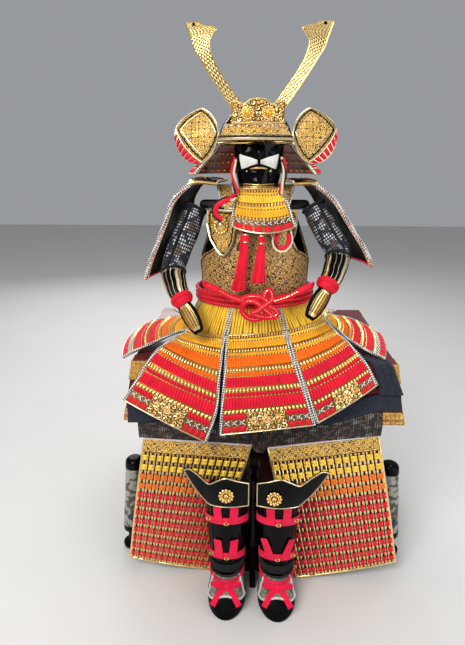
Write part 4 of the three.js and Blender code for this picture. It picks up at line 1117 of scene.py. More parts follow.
def make_cuirass(f):
    for name, column, top, turn in (("front", "front", 378.0, 0.0), ("back", "back", 384.0, math.pi)):
        def half_at(u, v, column=column, top=top, turn=turn):
            z = mix(282.0, top, v)
            spread = np.radians(look_up(CUIRASS, "z", z, column))
            return cuirass_at(turn + mix(-spread, spread, u), z)

        plate = Surface(half_at, (BODY[0], BODY[1], 320))
        shape = Shape()
        rows = np.sort(np.concatenate([steps(20), [0.41, 0.44, 0.47, 0.53, 0.57]]))
        shape.shell(plate, steps(24), rows, 1.8, 0.0, 0, back=2)
        for u in (0.0, 1.0):
            shape.tube(edge_line(plate, (u, 0.02), (u, 1), 0.2, 50), 0.9, 1, 6)
            shape.tube(edge_line(plate, (abs(u - 0.03), 0.02), (abs(u - 0.03), 1), 0.2, 50), 0.45, 2, 6)
        shape.tube(edge_line(plate, (0, 1), (1, 1), 0.2, 30), 0.9, 1, 6)
        shape.make(f"cuirass_{name}_leather", [f.leather, f.white_gold, f.black_dull],
                   (f"cuirass_{name}",), weld=True)

    path = smooth([[25, -64.6, 379.2], [28, -58, 390], [31, -42, 397], [32, -25, 399], [30, -8, 395],
                   [27, 5.4, 386.4]])
    for name, side in (("left", -1), ("right", 1)):
        def strap_at(u, v, side=side):
            p = path(v)
            x = BODY[0] + side * (p[..., 0] + mix(-7.5, 7.5, u))
            return points3(x, p[..., 1], p[..., 2])

        strap = Surface(strap_at, (BODY[0], BODY[1], 350))
        shape = Shape()
        shape.shell(strap, steps(6), steps(24), 1.6, 0.0, 0, back=3)
        for u in (0.03, 0.97):
            braid(shape, edge_line(strap, (u, 0), (u, 1), 0.1, 30), 0.9, 1, 1.6)
        shape.make(f"shoulder_strap_leather_{name}", [f.leather, f.braid, f.gold, f.lining],
                   (f"shoulder_strap_{name}",), weld=True)

    plates = {
        "left": table("z left right", [[333, -34.5, -31.5], [338, -39, -27], [348, -45.5, -22],
                                       [362, -49, -20], [376, -48, -21]]),
        "right": table("z left right", [[339, 24, 27], [345, 18, 33], [354, 14, 37.5], [364, 13, 39],
                                        [376, 14, 38]]),
    }
    for name, rows in plates.items():
        def plate_at(u, v, rows=rows):
            z = mix(rows["z"][0], rows["z"][-1], v)
            x = mix(look_up(rows, "z", z, "left"), look_up(rows, "z", z, "right"), u)
            reach = look_up(CUIRASS, "z", z, "a") + 2.7
            return cuirass_at(np.arcsin((x - BODY[0]) / reach), z, 2.7)

        surface = Surface(plate_at, (BODY[0], BODY[1], 340))
        shape = Shape()
        shape.shell(surface, steps(10), steps(24), 1.8, 0.0, 0)
        rim = [(0.0, 0.0), (0.0, 1.0), (1.0, 1.0), (1.0, 0.0), (0.0, 0.0)]
        for inset, radius, slot in ((0.0, 1.15, 1), (0.09, 0.6, 2)):
            for (ua, va), (ub, vb) in zip(rim, rim[1:]):
                a = (mix(inset, 1 - inset, ua), mix(inset * 0.6, 1 - inset * 0.6, va))
                b = (mix(inset, 1 - inset, ub), mix(inset * 0.6, 1 - inset * 0.6, vb))
                shape.tube(edge_line(surface, a, b, 0.3, 30), radius, slot, 6)
        if name == "left":
            rosette(shape, *surface.spot(0.5, 0.66, 0.8), UP, 9.0, 3, 14, 3.2)
            shape.stud(surface, 0.5, 0.66, 2.4, 4.6, 3, 14, 4, 0.5)
            bead_row(shape, surface, 0.2, 0.8, 0.30, 0.30, 4, 0.9, 3, 0.2)
        finish = [f.leather_light, f.white_gold, f.black_dull, f.gold_bright]
        shape.make(f"chest_plate_leather_{name}", finish, (f"chest_plate_{name}",), weld=True)


# Belt of three cords, its knot and ends, and the two tassels

def stitched_cord(shape, line, radius, side=(0, -1, 0.35), squash=1.0):
    """A silk cord with a line of gilt stitches along the side that faces out."""
    line = np.asarray(line, float)
    shape.tube(line, radius, 0, 12, squash=squash)
    walked = walk(line)
    count = max(3, int(walked[-1] / 2.6))
    offset = unit(np.array(side, float)) * radius * 0.97
    for k in range(count):
        span = (np.array([0.12, 0.5, 0.78]) + k) * walked[-1] / count
        stitch = np.stack([np.interp(span, walked, line[:, i]) for i in range(3)], -1) + offset
        shape.tube(stitch, 0.34, 1, 5, caps=False)


def make_belt(f):
    finishes = [f.cord, f.gold]
    thick = f.sizes.belt_cord / MM / 2
    shape = Shape()
    phi = np.linspace(0, TAU, 121)
    for dz in (-4.7, 0.0, 4.7):
        a, b = 60.8, 49.4
        ring = around(BODY, a + 0.9, b + 0.9, phi, 288 + dz)
        shape.tube(ring, 2.25, 0, 10, caps=False)
        dashes = np.arange(0, 120, 1) / 120 * TAU
        for start in dashes:
            turn = start + np.array([0.0, 0.012, 0.024])
            shape.tube(around(BODY, a + 3.0, b + 3.0, turn, 288 + dz + 0.4), 0.3, 1, 4, caps=False)
    shape.make("belt_cords", finishes, ("belt",))

    knot = Shape()
    loops = (
        [(-13, -90, 294), (-4, -92.5, 297), (8, -93, 295), (13, -92, 287), (9, -90.5, 277), (-1, -90, 273),
         (-10, -90.5, 277), (-13, -92, 285), (-9, -94, 292), (-1, -95, 292.5), (6, -94, 287),
         (15, -92.5, 279), (21, -91, 275.5)],
        [(18, -90, 294), (11, -93.5, 290), (3, -95.8, 284), (-3, -95.5, 281), (3, -94, 278),
         (12, -92.5, 276), (21, -91.5, 279), (19, -92, 284), (10, -92.5, 290), (8.5, -91.5, 299),
         (13, -90.5, 303), (16, -90.5, 297), (14, -91, 290)],
    )
    for points in loops:
        stitched_cord(knot, smooth(points)(steps(70)), thick, (0, -1, 0.3))
    knot.make("belt_knot_cords", finishes, ("belt_knot",))

    ends = {
        "left": [(-12, -91, 291.5), (-22, -91.4, 295), (-34, -91.2, 301), (-49, -89, 308)],
        "right": [(18, -91, 291.5), (28, -91.4, 295), (40, -91.2, 301), (54, -89, 308)],
    }
    for name, points in ends.items():
        end = Shape()
        line = smooth(points)(steps(30))
        stitched_cord(end, line[:22], thick, (0, -1, 0.5))
        radius = np.concatenate([[2.9], np.full(4, 3.5), [3.6, 3.5, 3.3, 3.0]])
        end.tube(line[21:30], radius, 0, 14)
        fringe = line[-1] - line[-4]
        for k in range(16):
            turn = TAU * k / 16
            root = line[-2] + 2.4 * np.array([math.cos(turn) * 0.5, math.cos(turn) * 0.8, math.sin(turn)])
            end.tube([root, root + unit(fringe) * 3.2], 0.5, 0, 5)
        end.make(f"belt_end_cord_{name}", finishes, (f"belt_end_{name}",))


def make_tassels(f):
    tassels = {
        "left": ((-10, -87.2, 352.6), (-16.5, -88.5, 303)),
        "right": ((5, -90.8, 352), (2.5, -90.8, 311)),
    }
    for name, (head, foot) in tassels.items():
        head, foot = np.array(head, float), np.array(foot, float)
        shape = Shape()
        strands = 84
        for k in range(strands):
            ring = math.sqrt((k + 0.5) / strands)
            turn = k * GOLDEN_ANGLE
            out = np.array([math.cos(turn), 0.75 * math.sin(turn), 0])
            sway = 1.2 * math.sin(turn * 1.7)
            line = smooth([
                head + out * 1.9 * ring + (0, 0, -3), mix(head, foot, 0.35) + out * 4.2 * ring,
                mix(head, foot, 0.75) + out * 5.2 * ring + (sway * 0.4, 0, 0),
                foot + out * 6.2 * ring + (sway, 0, 1.2 * math.sin(5 * turn))])(steps(7))
            shape.tube(line, 0.62, 0, 5)
        for dz in (3.4, 2.2, 1.0, -0.2, -1.4, -2.6, -3.8):
            circle = np.linspace(0, TAU, 17)
            ring = head + np.stack([2.9 * np.cos(circle), 2.9 * np.sin(circle), np.full(17, dz)], -1)
            shape.tube(ring, 0.75, 1 if dz in (3.4, -3.8) else 0, 6, caps=False)
        shape.make(f"tassel_strands_{name}", [f.tassel, f.white_gold], (f"tassel_{name}",))


# Waist lacing and the skirt's seven laced panels

WAIST = {"a": 75.0, "b": 50.0, "z": 254.5, "tilt": 0.1}


def waist_edge(phi, drop=0.0):
    point = around(BODY, WAIST["a"], WAIST["b"], phi, 0.0)
    point[..., 2] = WAIST["z"] + WAIST["tilt"] * point[..., 0] - drop
    return point


def make_waist(f):
    def at(u, v):
        phi = TAU * np.asarray(u, float)
        top = around(BODY, 57.6, 46.8, phi, 281.3)
        return mix(top, waist_edge(phi), np.asarray(v, float)[..., None])

    ring = Surface(at, (BODY[0], BODY[1], 230))
    wall = Shape()
    wall.shell(ring, steps(90), steps(4), 1.4, 0.0, 0, ring=True)
    # The ground's darker amber is painted shade where it shows between the laces.
    base = wall.make("waist_lacing_ground", [f.amber_ground_painted_gap_shade], ("waist_lacing",), weld=True)
    trim = Shape()
    count = 140
    seed = np.random.RandomState(7)
    at_u = np.arange(count) / count
    lean = seed.uniform(-0.25, 0.25, count) / count
    for k in range(count):
        edge = np.array([lean[k], -lean[k]])
        path_u = at_u[k] + np.linspace(edge[0], edge[1], 6)
        line = ring.out(path_u, np.linspace(0.0, 0.985, 6), 0.5 + 0.5 * seed.uniform(0, 1))
        trim.tube(line, 1.28 + 0.2 * seed.uniform(0, 1), 0, 6, caps=False, squash=0.8)
    for phi in (-22.4, 25.0, -70.3, 75.5, 180):
        u = (phi / 360.0) % 1.0
        for shift in (-0.0035, 0.0035):
            braid(trim, edge_line(ring, (u + shift, 0.0), (u + shift, 1.0), 1.2, 16), 1.35, 1)
    lace = trim.make("waist_lacing_strands", [f.yellow, f.braid])
    girth, drop = ring.size(90)
    declare_sheet(base, girth, drop, "hung", ("cuirass_front",), [lace])


# Each panel: where it starts and ends round the waist, in degrees, then rows of its near and far edge
SKIRT = {
    "front": (-21.6, 24.1, [
        [-28.9, -92, 238, 34, -92, 244.3], [-29.5, -110, 218.7, 41.2, -110, 226.2],
        [-31.4, -121, 195.9, 49.8, -121, 205], [-33.1, -129, 166.3, 58.7, -129, 179.4]]),
    "front_left": (-69, -23.3, [
        [-84, -70, 244.5, -32.6, -93, 238.4], [-100, -93.5, 238.5, -34.8, -111.5, 214],
        [-114, -107, 219, -36.6, -122, 189.5], [-129.5, -116, 196, -46.9, -130, 158.5]]),
    "front_right": (26, 74, [
        [36.3, -93, 244.7, 83, -66, 254], [43.6, -110, 226.3, 95, -84, 246],
        [52.2, -121, 205, 109, -99, 232], [61, -128.5, 181, 119.5, -110, 213.8]]),
    "side_left": (-118, -71.5, [
        [-84, -8, 250, -88, -58, 245.5], [-104, -4, 246, -104, -69, 240.5],
        [-125, -5, 240, -120, -82, 236.5], [-144, -12, 226, -134, -93, 232]]),
    "side_right": (77, 122, [
        [90, -50, 248.5, 88, -6, 253], [101, -66, 242.5, 106, -2, 249],
        [115, -82, 238, 126, -3, 241.5], [129, -95, 235, 143, -14, 234]]),
    "rear_left": (-178.5, -121, [
        [-3, 36, 248, -76, 12, 245], [-4, 52, 244, -88, 31, 242],
        [-5, 67, 240.5, -98, 50, 239], [-6, 82, 237, -106, 68, 236.5]]),
    "rear_right": (124, 178.5, [
        [76, 12, 251, 1, 36, 248], [88, 31, 245, 2, 52, 244],
        [98, 50, 240, 3, 67, 240.5], [106, 68, 236.5, 4, 82, 237]]),
}


def skirt_surface(start, end, rows):
    start, end = math.radians(start), math.radians(end)
    near = smooth([waist_edge(np.array(start), 0.6)] + [row[:3] for row in rows])
    far = smooth([waist_edge(np.array(end), 0.6)] + [row[3:] for row in rows])

    def at(u, v):
        u, v = both(u, v)
        uu, vv = u[..., None], v[..., None]
        straight = mix(waist_edge(np.array(start), 0.6), waist_edge(np.array(end), 0.6), uu)
        arch = (waist_edge(mix(start, end, u), 0.6) - straight) * (1 - vv)
        crown = 4 * 4 * uu * (1 - uu) * np.sin(math.pi * vv / 2)
        point = mix(near(v), far(v), uu) + arch
        outward = point - np.array([BODY[0], BODY[1], 0])
        outward[..., 2] = 0
        outward = unit(outward) * 0.7
        outward[..., 2] = 0.3
        return point + outward * crown

    return Surface(at, (BODY[0], BODY[1], 150))


def make_skirt(f):
    ropes = ["yellow", "amber", "orange", "red", "red"]
    laces = ["amber", "orange", "red", "red", None]
    for name, (start, end, rows) in SKIRT.items():
        surface = skirt_surface(start, end, rows)
        laced_panel(f"skirt_{name}", surface, 5, ropes, laces, f, ornament=name.startswith("front"),
                    rests_on=("waist_lacing_ground",), back=f.leather)


# Shoulder guards, sleeves and hands

GUARDS = {
    "left": [[-38, 400.5, 6], [-63, 401, 9], [-82, 385, 14], [-91, 364, 18], [-100, 343, 22], [-109, 322, 26],
             [-114, 306, 30]],
    "right": [[36, 400.5, 6], [56, 400, 9], [75, 386, 14], [87, 370, 18], [98, 354, 22], [109, 338, 26],
              [118, 321, 30]],
}


def make_shoulder_guards(f):
    lames = 7
    cap_end = 1.35 / lames
    trim_start = 1.3 / lames
    ropes = ["yellow", "orange", "red", "red", "red", "red"]
    laces = ["yellow", "orange", "red", "red", "red", None]
    for name, side in (("left", -1), ("right", 1)):
        path = smooth([[x, skew, z] for x, z, skew in GUARDS[name]])

        def at(u, v, path=path, side=side):
            u = np.asarray(u, float)
            p = path(v)
            x = p[..., 0] - side * (p[..., 1] * u - 16 * u * (1 - u))
            return points3(x, -60 + 70 * u, p[..., 2] + 2 * u)

        surface = Surface(at, (0, BODY[1], 330))
        laced_panel(f"shoulder_guard_{name}", surface, lames, ropes, laces, f, ornament=False, cap=1,
                    rests_on=(f"shoulder_strap_leather_{name}",))
        plate = Shape()
        plate.shell(surface, steps(12), np.linspace(0.0, cap_end, 13), 0.1, 1.0, 0)
        outline(plate, surface, (0, 1), (0, cap_end), 0.6, 24, 1.0, 1, 6)
        for u in (0.25, 0.5, 0.75):
            rosette(plate, *surface.spot(u, 0.11, 1.1), (1, 0, 0), 4.2, 1, 12, 1.4)
        plate.make(f"shoulder_cap_plate_{name}", [f.black_dull, f.gold_bright])
        inner = Shape()
        for u in (0.01, 0.99):
            braid(inner, edge_line(surface, (u, trim_start), (u, 1.0), -1.2, 60), 1.25, 0, 2.6)
            inset = mix(u, 0.5, 0.05)
            inner.tube(edge_line(surface, (inset, trim_start), (inset, 1), -2.2, 40), 0.7, 1, 6)
        inner.tube(edge_line(surface, (0, 0.985), (1, 0.985), -1.4, 30), 1.3, 2, 8)
        inner.make(f"shoulder_guard_edging_{name}", [f.braid_red, f.white_gold, f.red])


SLEEVES = {
    "left": [[-62, -35, 377.6, 11.5], [-73, -42, 350, 13], [-85, -50, 318, 12.5], [-81, -66, 300, 10],
             [-73, -78, 288, 8.5]],
    "right": [[57, -36, 379.2, 11.5], [70, -43, 356, 13], [83, -50, 334, 12.5], [78, -66, 316, 10],
              [70, -78, 304, 8.5]],
}
HANDS = {"left": ((-75, -82.8, 288.2), (-57.5, -93, 260)), "right": ((72.2, -83, 304.5), (54.5, -93, 276))}


def sleeve_surface(rows):
    path = smooth([row[:3] for row in rows])
    radii = np.array([row[3] for row in rows], float)
    places = steps(len(rows) - 1)

    def at(u, v):
        u, v = both(u, v)
        centre = path(v)
        along = unit(path(np.minimum(v + 1e-3, 1)) - path(np.maximum(v - 1e-3, 0)))
        across = unit(np.array([0.0, 1.0, 0.0]) - along * along[..., 1:2])
        over = np.cross(along, across)
        r = np.interp(v, places, radii)[..., None]
        turn = (TAU * u)[..., None]
        crease = 1 + 0.025 * np.sin(9 * v[..., None] * math.pi + 2 * np.sin(turn)) * (v[..., None] < 0.55)
        return centre + r * crease * (across * np.cos(turn) + over * np.sin(turn))

    return Surface(at, rows[2][:3])


def make_sleeves(f):
    for name, rows in SLEEVES.items():
        side = -1 if name == "left" else 1
        surface = sleeve_surface(rows)
        wall = Shape()
        wall.shell(surface, steps(40), np.linspace(0, 1, 36), 1.3, 0.0, 0, ring=True, back=1)
        cloth = wall.make(f"sleeve_cloth_{name}", [f.sleeve, f.binding], (f"sleeve_{name}",),
                          weld=True)
        trim = Shape()
        for u in (0.06, 0.44) if side > 0 else (0.56, 0.94):
            line = edge_line(surface, (u, 0.02), (u, 0.56), 0.3, 24)
            trim.tube(line, 1.7, 0, 8, squash=0.6)
        for v in (0.02, 0.56):
            trim.tube(edge_line(surface, (0, v), (1, v), 0.3, 40), 1.4, 0, 8, caps=False)
        splints = 14
        at_u = np.arange(splints) / splints
        gold = np.array([0, 0, 1, 0, 0, 2, 0] * 2)
        trim.arches(surface, at_u + 0.004, at_u + 0.9 / splints, 0.60, 0.97, 1.2, 1 + gold,
                    0.2, 5, 8, power=0.4)
        for k in range(splints):
            edge = at_u[k] - 0.05 / splints
            trim.tube(edge_line(surface, (edge, 0.58), (edge, 0.98), 0.5, 12), 0.45, 3, 5)
        for v in (0.985, 0.955):
            trim.tube(edge_line(surface, (0, v), (1, v), 1.3, 40), 1.6, 4, 8, caps=False)
        lace = trim.make(f"sleeve_armour_{name}", [f.binding, f.black, f.gold, f.white_gold, f.red])
        girth, length = surface.size(60)
        declare_sheet(cloth, girth, length, "hung", ("stand",), [lace])
        make_hand(name, f)


def make_hand(name, f):
    wrist, tip = [np.array(p, float) for p in HANDS[name]]
    away = np.array([-0.45 if name == "left" else 0.45, -0.8, 0.1])
    along = unit(tip - wrist)
    across = unit(np.cross(along, away))
    out = unit(np.cross(across, along))

    def at(u, v):
        u, v = both(u, v)
        turn = mix(-1.35, 1.35, u)[..., None]
        half = 8.5 * np.sqrt(np.maximum(0.02, 1 - 0.8 * (2 * v - 1) ** 2))[..., None]
        return mix(wrist, tip, v[..., None]) + across * half * np.sin(turn) + out * (4 * np.cos(turn) - 4)

    surface = Surface(at, wrist - out * 20)
    shape = Shape()
    shape.shell(surface, steps(16), steps(20), 1.1, 0.0, 0, back=1)
    outline(shape, surface, (0, 1), (0, 1), 0.1, 20, 1.8, 1, 7)
    for k in range(5):
        u = 0.2 + 0.15 * k
        shape.tube(edge_line(surface, (u, 0.2), (u, 0.85), 0.4, 10), 0.6, 2, 6)
    shape.make(f"hand_plate_gilt_{name}", [f.gold, f.black_dull, f.gold_dark],
               (f"hand_plate_{name}",), weld=True)
    tie = Shape()
    turn = np.linspace(0, TAU, 25)
    start = wrist + out * -5
    for shift, r in ((-2.5, 7.6), (0.0, 8.4), (2.5, 7.8)):
        circle = np.cos(turn)[:, None] * across + np.sin(turn)[:, None] * out * 0.95
        tie.tube(start + along * shift + r * circle, 2.0, 0, 8, caps=False)
    tie.make(f"wrist_tie_{name}", [f.red])


# Thigh apron: waist tape, its loop, dark cloth and two splinted panels

def tape_low(x):
    t = np.clip((x - 50) / 80, 0, 1)
    return 168.3 + 13 * t * t * (3 - 2 * t) + 2 * np.sin(x / 17)


def lid_front(z):
    return -lid_half("Y", np.maximum(z, LID["rim"]))


# Where the tape and the dark cloth below it start and end in x, the tape's width and the cloth's drop
TAPE_ENDS, TAPE_WIDTH = (-129.0, 146.0), 17.5
APRON_ENDS, APRON_DROP = (-119.0, 129.0), 36.0


def make_apron(f):
    def tape_at(u, v):
        x = mix(*TAPE_ENDS, u)
        z = tape_low(x) + TAPE_WIDTH * v
        fold = 0.8 * np.sin(v * 9.5 + 0.6 * np.sin(x / 11)) + 0.5 * np.sin(x / 6.3 + 3 * v)
        return points3(x, lid_front(z) - 2.4 - np.maximum(0, fold), z)

    tape = Surface(tape_at, (0, 0, 175))
    shape = Shape()
    shape.shell(tape, steps(90), steps(14), 1.5)
    cloth = shape.make("apron_tape_cotton", [f.navy], ("apron_tape",), weld=True)

    rows = [[104, -80, 232.4, 122, -72, 232.4], [115, -99, 232.4, 134, -99, 232.4],
            [121, -104, 216, 141, -104, 217], [124, -107, 202, 147, -107, 202]]
    near, far = smooth([row[:3] for row in rows]), smooth([row[3:] for row in rows])

    def loop_at(u, v):
        u, v = both(u, v)
        point = mix(near(v), far(v), u[..., None])
        fold = 1.5 * np.sin(3 * math.pi * u) ** 2 + 0.5 * np.sin(TAU * u + 5 * v) ** 2
        return point + fold[..., None] * np.array([0.0, -1.0, 0.0])

    loop = Surface(loop_at, (110, 0, 200))
    shape = Shape()
    shape.shell(loop, steps(24), steps(30), 1.5)
    cloth = shape.make("apron_tape_loop_cotton", [f.navy], ("apron_tape_loop",), weld=True)
    declare_sheet(cloth, *loop.size(), "draped", ("chest_lid",))

    hem = table("x z", [[-119, 148], [-2, 142.4], [0.5, 134], [12, 131], [14, 139.4], [129, 156]])

    def cloth_at(u, v):
        x = mix(*APRON_ENDS, u)
        z = mix(tape_low(x) - 0.8, look_up(hem, "x", x, "z"), v)
        back = np.clip((LID["rim"] - z) / 25, 0, 1)
        y = mix(lid_front(z) - 2.7, -105.2, back)
        return points3(x, y - 0.5 * np.sin(x / 9) ** 2 * np.sin(math.pi * v), z)

    surface = Surface(cloth_at, (0, 0, 150))
    shape = Shape()
    shape.shell(surface, steps(90), steps(10), 1.5)
    cloth = shape.make("apron_cloth_brocade", [f.apron], ("apron_cloth",), weld=True)
    drop = max(surface.size()[1], APRON_DROP)
    declare_sheet(cloth, APRON_ENDS[1] - APRON_ENDS[0], drop, "hung", ("apron_tape_cotton",))


THIGHS = {
    "left": [[-114, -105, 146.6], [-2, -105, 141], [-131, -128, 15.5], [-47, -128, 2.5]],
    "right": [[15, -105, 138], [127, -105, 155.2], [47, -135, 1.6], [151, -128, 19]],
}


def star_knots(shape, surface, u, v, wide, tall, slot):
    """Silk knots crossed on the cloth: two arms across, one upright and a plump middle."""
    u, v = np.atleast_1d(u), np.atleast_1d(v)
    for du, dv, shift in ((0.50, 0.13, -0.17), (0.50, 0.13, 0.17), (0.20, 0.33, 0.0)):
        low = v + (shift - dv) * tall
        shape.arches(surface, u - du * wide, u + du * wide, low, low + 2 * dv * tall, 1.2, slot,
                     1.5, 4, 3, 0.0, 0.5)
    bulge = surface.out(u, v, np.full(u.shape, 1.9))
    shape.beads(bulge, surface.normal(u, v), 1.5, slot, 8, 3, 0.7)


def make_thigh_guards(f):
    knots, colours = f.sizes.thigh_knots, [0, 0, 1, 1] + [2] * 8
    for name, corners in THIGHS.items():
        top_left, top_right, low_left, low_right = [np.array(c, float) for c in corners]

        def at(u, v):
            u, v = both(u, v)
            uu, vv = u[..., None], v[..., None]
            point = mix(mix(top_left, top_right, uu), mix(low_left, low_right, uu), vv)
            drop = 5 * np.sin(math.pi * v) + 2 * np.sin(math.pi * u) * v
            return point - drop[..., None] * np.array([0.0, 1.0, 0.0])

        surface = Surface(at, (0, 0, 80))
        wall = Shape()
        wall.shell(surface, steps(28), steps(30), 1.5, 0.0, 0, back=1)
        base = wall.make(f"thigh_guard_cloth_{name}", [f.maroon_dark_and_painted_shade, f.binding],
                         (f"thigh_guard_{name}",), weld=True)
        band = Shape()
        band.shell(surface, np.linspace(0.002, 0.998, 29), np.linspace(0.001, 0.10, 5), -0.05, 0.9, 0)
        band.tube(edge_line(surface, (0, 0.0), (1, 0.0), 0.6, 40), 1.0, 1, 8)
        for k in range(34):
            u = (k + 0.5) / 34
            foot, _ = surface.spot(u, 0.0, 1.0)
            up = np.array([0.35 * math.sin(k * 2.7), -0.2, 1.9 + 0.6 * math.sin(k * 1.3)])
            band.tube([foot, foot + up], 0.28, 2, 4)
        band.make(f"thigh_guard_band_{name}", [f.leather_light, f.piping, f.rose])
        trim = Shape()
        ribs = 2 * knots
        edges = (np.arange(ribs) + 0.5) / ribs
        rows = len(colours)
        top, low = 0.105, 0.985
        for u in edges:
            shift = 0.05 / ribs * (1 if round(u * ribs - 0.5) % 2 else -1)
            line = edge_line(surface, (u + shift, top), (u + shift, low), 0.55, 60)
            beat = np.cos(TAU * np.linspace(0, rows * 2, 61))
            trim.tube(line, 1.15 + 0.22 * beat, 3, 6)
        for j, colour in enumerate(colours):
            v = mix(top, low, (j + 0.5) / rows)
            columns = (np.arange(knots) + 0.5) / knots
            star_knots(trim, surface, columns, np.full(knots, v), 1 / knots * 0.74,
                       (low - top) / rows * 0.90, colour)
        trim.tube(edge_line(surface, (0, 1), (1, 1), 0.3, 40), 1.2, 3, 8)
        for u in (0.0, 1.0):
            trim.tube(edge_line(surface, (u, 0), (u, 1), 0.1, 40), 1.0, 3, 8)
        lace = trim.make(f"thigh_guard_splints_{name}", [f.yellow, f.orange, f.red, f.gold])
        declare_sheet(base, *surface.size(), "hung", ("apron_cloth_brocade",), [lace])


def make_thigh_rolls(f):
    for name, x, side in (("left", -130.0, -1), ("right", 147.0, 1)):
        def axis(z, x=x, side=side):
            return x + side * 7 * (107 - np.maximum(z, 31)) / 76

        turn = np.linspace(0, TAU, 41)
        z = np.linspace(24, 106.5, 34)
        t, h = np.meshgrid(turn, z)
        rest = (h - 24) / 82.5
        ends = np.clip(np.minimum(rest, 1 - rest) * 20, 0.0, 1) ** 0.5
        radius = (8.0 + 1.0 * ends) + 0.25 * np.sin(3 * t + h / 9) * ends
        body = points3(axis(h) + radius * np.cos(t), -90 + radius * np.sin(t), h)
        shape = Shape()
        uv = np.stack([t * 9, h], -1)
        shape.grids(body[None], uv, 0)
        for level, rows in ((24, body[0]), (106.5, body[-1])):
            middle = np.broadcast_to(rows.mean(axis=0), rows.shape)
            shape.grids(np.stack([rows, middle])[None], np.stack([uv[0], uv[0]]), 0, level == 24)
        roll = shape.make(f"thigh_roll_brocade_{name}", [f.roll], (f"thigh_roll_{name}",),
                          weld=True)
        post = Shape()
        rings = [[0, 10.6], [0.8, 11], [3.6, 11], [4.2, 10], [5.4, 5.6], [7, 5], [20, 5], [21.5, 8.6],
                 [22.5, 9.6], [27, 9.7], [29, 9.5]]
        cap = [[103, 9.5], [105, 9.8], [110, 9.6], [112, 9.0], [113.6, 7.0], [114, 4.0], [114, 0.1]]
        for profile in (rings, cap):
            heights = np.array([row[0] for row in profile], float)
            radii = np.array([row[1] for row in profile], float)
            t, h = np.meshgrid(turn, heights)
            r = radii[:, None] * np.ones_like(t)
            grid = points3(axis(h) + r * np.cos(t), -90 + r * np.sin(t), h)
            post.grids(grid[None], np.stack([t * 9, h], -1), 0)
        sole = points3(axis(np.array(0.0)) + np.outer([10.6, 0.0], np.cos(turn)), -90 + np.outer([10.6, 0.0],
                       np.sin(turn)), 0.0)
        post.grids(sole[None], np.zeros((2, 41, 2)), 0, True)
        post.make(f"thigh_roll_post_{name}", [f.black])


# Legs: shin guards, winged knee plates, ribbons and brocade shoes

LEGS = {"left": (-25.5, -1, 1.0), "right": (24.5, 1, 1.14)}
LEG_Y = -150.0
SHIN = table("z a b", [[32.8, 13.5, 13.5], [40, 16, 15], [60, 18, 17], [92, 20, 18.5], [121, 19.5, 18]])
KNEE = [[-21, -170.2, 141, 115], [-11, -172.6, 144.5, 115], [0, -173.6, 148, 115], [8, -172.4, 144, 115],
        [15.4, -169.6, 139, 115], [21, -167.5, 142, 119.5], [27, -165.5, 146.4, 126],
        [34, -162.5, 149.6, 135], [39, -160.5, 147.5, 143.5]]
SHOE = table("z y a b", [[0, -160.5, 17.5, 29], [2, -160.5, 18.5, 30], [9, -160, 18.5, 29.5],
                         [17, -157.5, 17.5, 25], [25, -154, 16.5, 20.5], [32, -151.5, 15.6, 16.6]])


def shin_point(x, phi, z, out=0.0):
    return around((x, LEG_Y), look_up(SHIN, "z", z, "a") + out, look_up(SHIN, "z", z, "b") + out, phi, z)


def ribbon(shape, line, half, normal, slot=0, thick=0.5, ribs=5):
    """A flat silk ribbon along a line, with fine ribs lengthwise."""
    line = np.asarray(line, float)
    normal = unit(np.broadcast_to(np.asarray(normal, float), line.shape))
    along = unit(np.gradient(line, axis=0))
    across = unit(np.cross(along, normal))
    t = np.linspace(-1, 1, 2 * ribs + 1)
    rise = thick * (0.75 + 0.25 * np.cos(np.arange(2 * ribs + 1) * math.pi))
    front = line[:, None] + across[:, None] * (half * t)[:, None] + normal[:, None] * rise[:, None]
    back = line[:, None] + across[:, None] * (half * t)[:, None] - normal[:, None] * 0.1
    walked = walk(line)
    uv = np.stack(np.meshgrid(half * t, walked), -1)
    shape.grids(front[None], uv, slot)
    shape.grids(back[None], uv, slot, True)
    for side in (0, -1):
        rim = np.stack([front[:, side], back[:, side]], 1)
        shape.grids(rim[None], uv[:, :2], slot, side == -1)
    for end in (0, -1):
        rim = np.stack([front[end], back[end]])
        shape.grids(rim[None], np.stack([uv[end], uv[end]]), slot, end == 0)


def make_legs(f):
    for name, (x, side, wing) in LEGS.items():
        def shin_at(u, v, x=x):
            z = mix(121.0, 32.8, v)
            return shin_point(x, mix(-math.radians(138), math.radians(138), u), z)

        shin = Surface(shin_at, (x, LEG_Y, 80))
        shape = Shape()
        shape.shell(shin, steps(48), steps(24), 1.6, 0.0, 0)
        for u in (0.0, 0.34, 0.66, 1.0):
            shape.tube(edge_line(shin, (u, 0), (u, 1), 0.1, 30), 0.55, 0 if 0 < u < 1 else 1, 6)
        for v in (0.0, 1.0):
            shape.tube(edge_line(shin, (0, v), (1, v), 0.1, 40), 0.8, 0, 6)
        shape.make(f"shin_guard_plates_{name}", [f.black, f.white_gold],
                   (f"shin_guard_{name}",), weld=True)
        make_knee(name, x, side, wing, f)
        make_ribbons(name, x, side, f)
        make_shoe(name, x, f)


